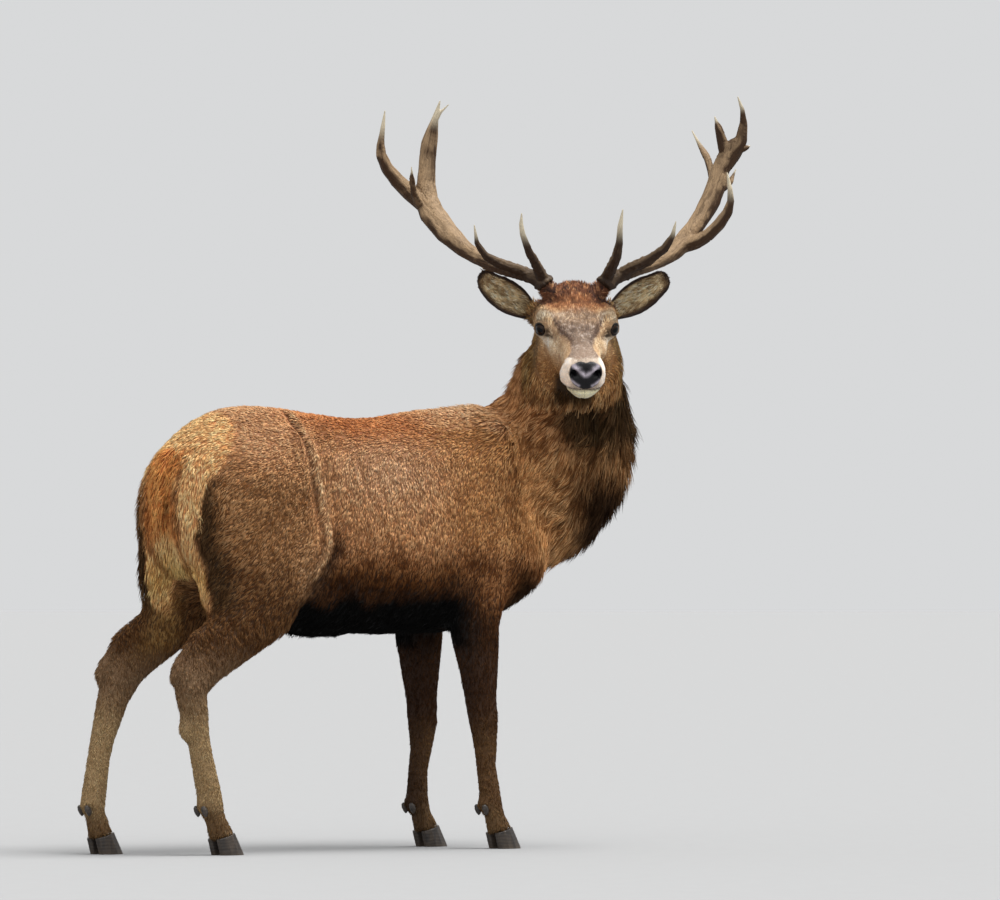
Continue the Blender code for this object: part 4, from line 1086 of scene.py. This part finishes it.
def growTufts(name, picked, shares, rings):
    roots = mixCorners(skinPoints, picked, shares)
    normals = unit(mixCorners(skinNormals, picked, shares))
    uv = (skinUv[picked] * shares[:, :, None]).sum(1)
    first = skinTriangles[picked][np.arange(len(picked)), shares.argmax(1)]
    parts = {key: value[first] for key, value in skinParts.items()}
    parts.update(own=ownPlaces(roots), inHead=headPlaces(roots), normals=normals)
    length, width, lift = tuftSizes(parts)
    gather = (0.30 * length + 0.006)[:, None]
    level = softNoise(roots, gather, 11)
    along = tuftLie(roots, normals, parts, gather, level)
    count = len(roots)
    length = length * (1 + 0.132 * chance.normal(0, 1, count).clip(-2, 2) + 0.12 * level)
    lift = lift * (1 + 0.30 * level) * (1 + 0.18 * chance.normal(0, 1, count).clip(-2, 2))
    points, strand = tuftPoints(roots, normals, along, length, width, lift, rings)
    size = len(strand)
    faces = (tuftFaces(size)[None] + (np.arange(count) * size)[:, None, None]).reshape(-1, 3)
    coat = meshFrom(name, points.reshape(-1, 3), faces)
    paint(coat.data, "coat", tuftColours(roots, parts, level, strand))
    bake = (uv[:, None, :] + (strand - 0.5) * coatLook["patch"]).reshape(-1, 2)
    for layerName, values in (("OFBake", bake), ("strand", np.tile(strand, (count, 1)))):
        layer = coat.data.uv_layers.new(name=layerName)
        layer.uv.foreach_set("vector", values[faces.ravel()].astype(np.float32).ravel())
    return coat


def coatMaterial():
    material, tree, shader = newMaterial("fur", 0.7, 0.06)
    strand = tree.nodes.new("ShaderNodeUVMap")
    strand.uv_map = "strand"
    scaled = tree.nodes.new("ShaderNodeVectorMath")
    scaled.operation = "MULTIPLY_ADD"
    scaled.inputs[1].default_value = (40, 40, 40)
    tree.links.new(objectPlace(tree), scaled.inputs[0])
    tree.links.new(stretched(tree, strand.outputs["UV"], (7, 0.8, 1)), scaled.inputs[2])
    hairs = addNoise(tree, scaled.outputs[0], 1.0, 2)
    shadeBy(tree, shader, attribute(tree, "coat"), spread(tree, hairs, 0.72, 1.28))
    addBump(tree, shader, hairs, 0.35, 0.0006)
    return material


skinUv = readRows(skin.data.uv_layers["OFBake"].uv, "vector", 2).astype(float)
skinUv = skinUv[readRows(skin.data.loop_triangles, "loops", 3, np.int32)]
rootLength, rootWidth, _ = tuftSizes(skinParts)
rootNeed = (1 - ramp(0.2, 0.5, skinNose)) / (rootLength * rootWidth)
rootNeed *= eyeClear(skinParts["inHead"]) * (1 + 1.2 * skinParts["head"] * skinParts["nearNeck"])
skinNeed = rootNeed[skinTriangles].mean(1)
fur = coatMaterial()
firstCorners = {key: value[skinTriangles[:, 0]] for key, value in skinParts.items()}
for region, chosen in tuftRegions(firstCorners).items():
    look = coatLook[region]
    picked, shares = scatter(np.nonzero(chosen)[0], look["tufts"])
    limit = coatLook["mostTriangles"] // (6 * look["rings"])
    roots = skinPoints[skinTriangles[picked, 0]]
    aside = headPlaces(roots)[:, 1] if region in ("face", "ears", "mane") else -ownPlaces(roots)[:, 1]
    order = np.argsort(aside, kind="stable")
    for number, some in enumerate(np.array_split(order, math.ceil(len(order) / limit))):
        piece = growTufts(f"coat_{region}_{number + 1}", picked[some], shares[some], look["rings"])
        piece.data.materials.append(fur)
        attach(piece, "root")
    print("coat", region, look["tufts"])

print("antlers")
antlerLook = {
    "voxel": 0.0021,
    "turns": 8,
    "beamTurns": 28,
    "groove": 0.0016,
    "pearl": 0.0013,
    "wave": 0.0008,
    "swell": 0.0022,
    "plump": 0.0010,
    "burr": 0.0050,
    "burrAt": 0.010,
    "palm": {"left": 0.40, "right": 0.0},
    "light": (152, 126, 96),
    "brown": (58, 38, 20),
    "base": (36, 22, 12),
    "tip": (212, 200, 174),
}


def offsetsFromMiddle(points, reach=0.036):
    picks = points[np.sort(chance.choice(len(points), 1200, replace=False))]
    near = (np.linalg.norm(picks[:, None] - picks[None], axis=2) < reach).astype(float)
    share = near / near.sum(1, keepdims=True)
    middles = share @ picks
    spreads = np.empty((len(picks), 3, 3))
    for index in range(len(picks)):
        away = picks[near[index] > 0] - middles[index]
        spreads[index] = away.T @ away
    axes = np.linalg.eigh(spreads)[1][:, :, 2]
    axes *= np.sign(axes @ (0.2, 0.3, 1.0))[:, None]
    for _ in range(2):
        middles, axes = share @ middles * 0.5 + middles * 0.5, unit(share @ axes)
    tree = KDTree(len(picks))
    for index, pick in enumerate(picks):
        tree.insert(pick, index)
    tree.balance()
    offsets = np.zeros((len(points), 3))
    for index, point in enumerate(points):
        total = 0
        for _, found, gap in tree.find_n(point, 4):
            weight = 1 / (gap + 0.002)
            away = point - middles[found]
            offsets[index] += weight * (away - axes[found] * (away @ axes[found]))
            total += weight
        offsets[index] /= total
    return offsets


def nearestTip(points, nodes, side):
    gaps = np.full(len(points), 9.0)
    for node in nodes:
        if "beam_lower" in node:
            continue
        corners = pointsOf(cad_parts[node].data)
        long = np.linalg.norm(corners.max(0) - corners.min(0))
        tip = corners[corners[:, 2].argmax()]
        pale = 1.0 if node.endswith("brow") else 0.5
        if node.endswith(("trez", "tip", "back_tine")) or (side == "right" and "upper" in node):
            pale = 0.85
        gaps = np.minimum(gaps, np.linalg.norm(points - tip, axis=1) / (min(long, 0.24) * pale))
    return gaps


def burrOf(points, reach):
    foot = points[reach < 0.022].mean(0)
    upward = points[(reach > 0.040) & (reach < 0.075)].mean(0) - foot
    above = (points - foot) @ (upward / np.linalg.norm(upward))
    knobs = 0.7 + 1.0 * np.maximum(softNoise(points, 0.0055, 45), 0)
    return antlerLook["burr"] * bell(above - antlerLook["burrAt"], 0.007) * ramp(0.06, 0.04, reach) * knobs


def makeAntler(side):
    nodes = sorted(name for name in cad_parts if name.startswith("antler_" + side))
    horn = joinedCopies(nodes, "horn_" + side)
    finishWith(horn, "REMESH", mode="VOXEL", voxel_size=antlerLook["voxel"], use_smooth_shade=True)
    finishWith(horn, "SMOOTH", factor=0.5, iterations=antlerLook["turns"])
    points, normals = pointsOf(horn.data), normalsOf(horn.data)
    base = points[headPlaces(points)[:, 2].argmin()]
    reach = np.linalg.norm(points - base, axis=1)
    toTip = nearestTip(points, nodes, side)
    smooth = ramp(0.60, 0.20, toTip)
    setPoints(horn.data, points + normals * (antlerLook["plump"] * (1 - smooth))[:, None])
    smoothWhere(horn, "beams", 1 - smooth, antlerLook["beamTurns"])
    points, normals = pointsOf(horn.data), normalsOf(horn.data)
    around = unit(offsetsFromMiddle(points))
    drift = (reach / 0.14)[:, None] * np.array((0.6, 0.8, 1.0))
    groove = softNoise(around * 3.6 + drift, 1.0, 41) + 0.6 * softNoise(around * 7.5 + drift * 2.2, 1.0, 42)
    pearls = np.maximum(softNoise(points, 0.0075, 43), 0) * ramp(0.34, 0.05, reach)
    wave = softNoise(points, 0.035, 44)
    height = groove * antlerLook["groove"] + pearls * antlerLook["pearl"] * 2
    height *= (1 - smooth) * ramp(0.0, 0.02, reach)
    height += wave * antlerLook["wave"] * (1 - smooth)
    height += antlerLook["swell"] * ramp(0.30, 0.40, reach) * ramp(0.68, 0.58, reach) * (1 - smooth)
    setPoints(horn.data, points + normals * (height + burrOf(points, reach))[:, None])
    light, brown, dark, pale = (plainTint(antlerLook[key]) for key in ("light", "brown", "base", "tip"))
    # painted shade: faces that point downwards are darkened towards brown
    sloping = ramp(0.08, 0.16, reach) * ramp(0.56, 0.44, reach)
    undersideShade = ramp(0.02, -0.34, normals[:, 2] + 0.20 * wave - 0.17 * sloping)
    blotch = softNoise(points * (1, 1, 0.4), 0.012, 47)
    share = 0.42 * ramp(0.20, -0.60, groove + 0.2 * wave) + 0.95 * undersideShade + 0.24 * blotch + 0.03
    share = share + 0.22 * softNoise(points, 0.09, 46) + antlerLook["palm"][side] * ramp(0.46, 0.56, reach)
    colours = light + (brown - light) * np.clip(share, 0, 1)[:, None]
    frontTines = np.zeros(len(points))
    for node in nodes:
        if node.endswith(("brow", "bez")):
            frontTines = np.maximum(frontTines, nearness(points, node, 0.003).astype(float))
    stain = np.clip(np.maximum(ramp(0.15, 0.04, reach), frontTines * 0.8) * (1 - 0.25 * pearls), 0, 1)
    colours = colours + (dark - colours) * (stain * 0.85)[:, None]
    colours = colours + (pale - colours) * (ramp(0.44, 0.16, toTip) * 0.85)[:, None]
    paint(horn.data, "horn", colours)
    mark(horn.data, "polish", smooth)
    grain = horn.data.attributes.new("grain", "FLOAT_VECTOR", "POINT")
    grain.data.foreach_set("vector", (around * 9.0 + drift * 3.0).astype(np.float32).ravel())
    print("antler", side, len(trianglesOf(horn.data)))
    return horn, nodes


def hornMaterial():
    material, tree, shader = newMaterial("antler_bone", 0.6, 0.22)
    streaks = addNoise(tree, attribute(tree, "grain", "Vector"), 2.1, 4)
    shadeBy(tree, shader, attribute(tree, "horn"), spread(tree, streaks, 0.42, 1.46, 0.25, 0.75))
    tree.links.new(spread(tree, attribute(tree, "polish", "Fac"), 0.62, 0.34), shader.inputs["Roughness"])
    addBump(tree, shader, streaks, 0.45, 0.0008)
    return material


bone = hornMaterial()
for side in ("left", "right"):
    horn, nodes = makeAntler(side)
    horn.data.materials.append(bone)
    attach(horn, "root")
    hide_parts(*nodes)

print("hooves")
hoofLook = {
    "voxel": 0.0011,
    "turns": 10,
    "keep": 0.5,
    "ringDepth": 0.00022,
    "ringGap": 0.0085,
    "tuck": 0.0050,
    "dark": (34, 28, 24),
    "light": (74, 62, 50),
}


def tuckClaws(points, nodes):  # dewclaws slim towards the bottom and lie closer to the foot
    hooves = np.mean([middleOf(name) for name in nodes if name.startswith("hoof")], axis=0)
    for name in nodes:
        if not name.startswith("dewclaw"):
            continue
        low, high = (np.array(corner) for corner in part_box(name))
        inside = ((points > low - 0.003) & (points < high + 0.003)).all(1)
        middle = (low + high) / 2
        inward = (hooves - middle) * (1, 1, 0)
        inward /= np.linalg.norm(inward)
        part = points[inside] - middle
        height = np.clip(part[:, 2] / (high[2] - low[2]) + 0.5, 0, 1)[:, None]
        slim = 0.50 + 0.50 * np.sqrt(height)
        part = part * np.hstack([slim, slim, np.full_like(slim, 0.92)]) + inward * hoofLook["tuck"]
        points[inside] = middle + part
    return points


def makeFoot(end, side):
    stem = f"{end}_{side}"
    starts = ("hoof_" + stem, "dewclaw_" + stem)
    nodes = sorted(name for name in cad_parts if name.startswith(starts))
    foot = joinedCopies(nodes, "claws_" + stem)
    finishWith(foot, "REMESH", mode="VOXEL", voxel_size=hoofLook["voxel"], use_smooth_shade=True)
    finishWith(foot, "SMOOTH", factor=0.5, iterations=hoofLook["turns"])
    points = tuckClaws(pointsOf(foot.data), nodes)
    setPoints(foot.data, points)
    normals = normalsOf(foot.data)
    rings = np.sin(points[:, 2] / hoofLook["ringGap"] * 2 * math.pi + 2 * softNoise(points, 0.02, 51))
    upright = 1 - np.abs(normals[:, 2])
    shove = rings * hoofLook["ringDepth"] * upright + softNoise(points, 0.004, 52) * 0.0002
    points = points + normals * (shove * (points[:, 2] > 0.004))[:, None]
    points[:, 2] = np.maximum(points[:, 2], 0)
    setPoints(foot.data, points)
    dark, pale = plainTint(hoofLook["dark"]), plainTint(hoofLook["light"])
    share = np.clip(0.25 + 0.10 * rings + 0.35 * softNoise(points * (1, 1, 0.25), 0.006, 53), 0, 1)
    share = np.clip(share + 0.35 * ramp(0.014, 0.0, points[:, 2]), 0, 1)
    paint(foot.data, "horn", dark + (pale - dark) * share[:, None])
    finishWith(foot, "DECIMATE", ratio=hoofLook["keep"])
    print("foot", stem, len(trianglesOf(foot.data)))
    return foot, nodes


def clawMaterial():
    material, tree, shader = newMaterial("hoof_horn", 0.42)
    streaks = addNoise(tree, stretched(tree, objectPlace(tree), (1, 1, 0.2)), 420, 3)
    shadeBy(tree, shader, attribute(tree, "horn"), spread(tree, streaks, 0.7, 1.3))
    addBump(tree, shader, streaks, 0.3, 0.0004)
    return material


claws = clawMaterial()
for end in ("fore", "hind"):
    for side in ("left", "right"):
        foot, nodes = makeFoot(end, side)
        foot.data.materials.append(claws)
        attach(foot, "root")
        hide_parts(*nodes)


print("floor, light and camera")
studio = {
    "distance": 20.0,
    "turn": 34,
    "height": 0.70,
    "lens": 272.88,
    "shift": (0.155, 0.135),
    "suns": {"overhead": ((-0.30, 0.26, -1.0), 45, 4.4), "front": ((0.60, 0.70, -0.55), 70, 0.8)},
    "air": (0.98, 0.99, 1.0, 1),
    "airPower": 0.70,
}


def stageFloor():
    bpy.ops.mesh.primitive_circle_add(vertices=96, radius=400, fill_type="NGON", location=(0, 0, 0))
    floor = bpy.context.view_layer.objects.active
    floor.name = "floor"
    material, tree, shader = newMaterial("pale_floor", 0.9, 0.1)
    tone = spread(tree, addNoise(tree, objectPlace(tree), 14, 3), 0.312, 0.330)
    tree.links.new(tone, shader.inputs["Base Color"])
    floor.data.materials.append(material)


def addCamera():
    angle = math.radians(studio["turn"])
    place = Vector(standAt) + Vector((-math.sin(angle), -math.cos(angle), 0)) * studio["distance"]
    place.z = studio["height"]
    bpy.ops.object.camera_add(location=place, rotation=(math.pi / 2, 0, -angle))
    camera = bpy.context.view_layer.objects.active
    camera.data.lens = studio["lens"]
    camera.data.sensor_width = 36
    camera.data.shift_x, camera.data.shift_y = studio["shift"]
    camera.data.clip_end = 200
    bpy.context.scene.camera = camera


def addSun(name, aim, softness, power):
    data = bpy.data.lights.new(name, "SUN")
    data.angle = math.radians(softness)
    data.energy = power
    light = bpy.data.objects.new(name, data)
    light.location = (0, 0, 4)
    light.rotation_euler = Vector(aim).to_track_quat("-Z", "Y").to_euler()
    bpy.context.scene.collection.objects.link(light)


stageFloor()
addCamera()
for name, (aim, softness, power) in studio["suns"].items():
    addSun(name, aim, softness, power)
bpy.context.scene.view_settings.view_transform = "Standard"
world = bpy.data.worlds.new("studio")
bpy.context.scene.world = world
world.use_nodes = True
air = world.node_tree.nodes["Background"]
air.inputs["Color"].default_value = studio["air"]
air.inputs["Strength"].default_value = studio["airPower"]
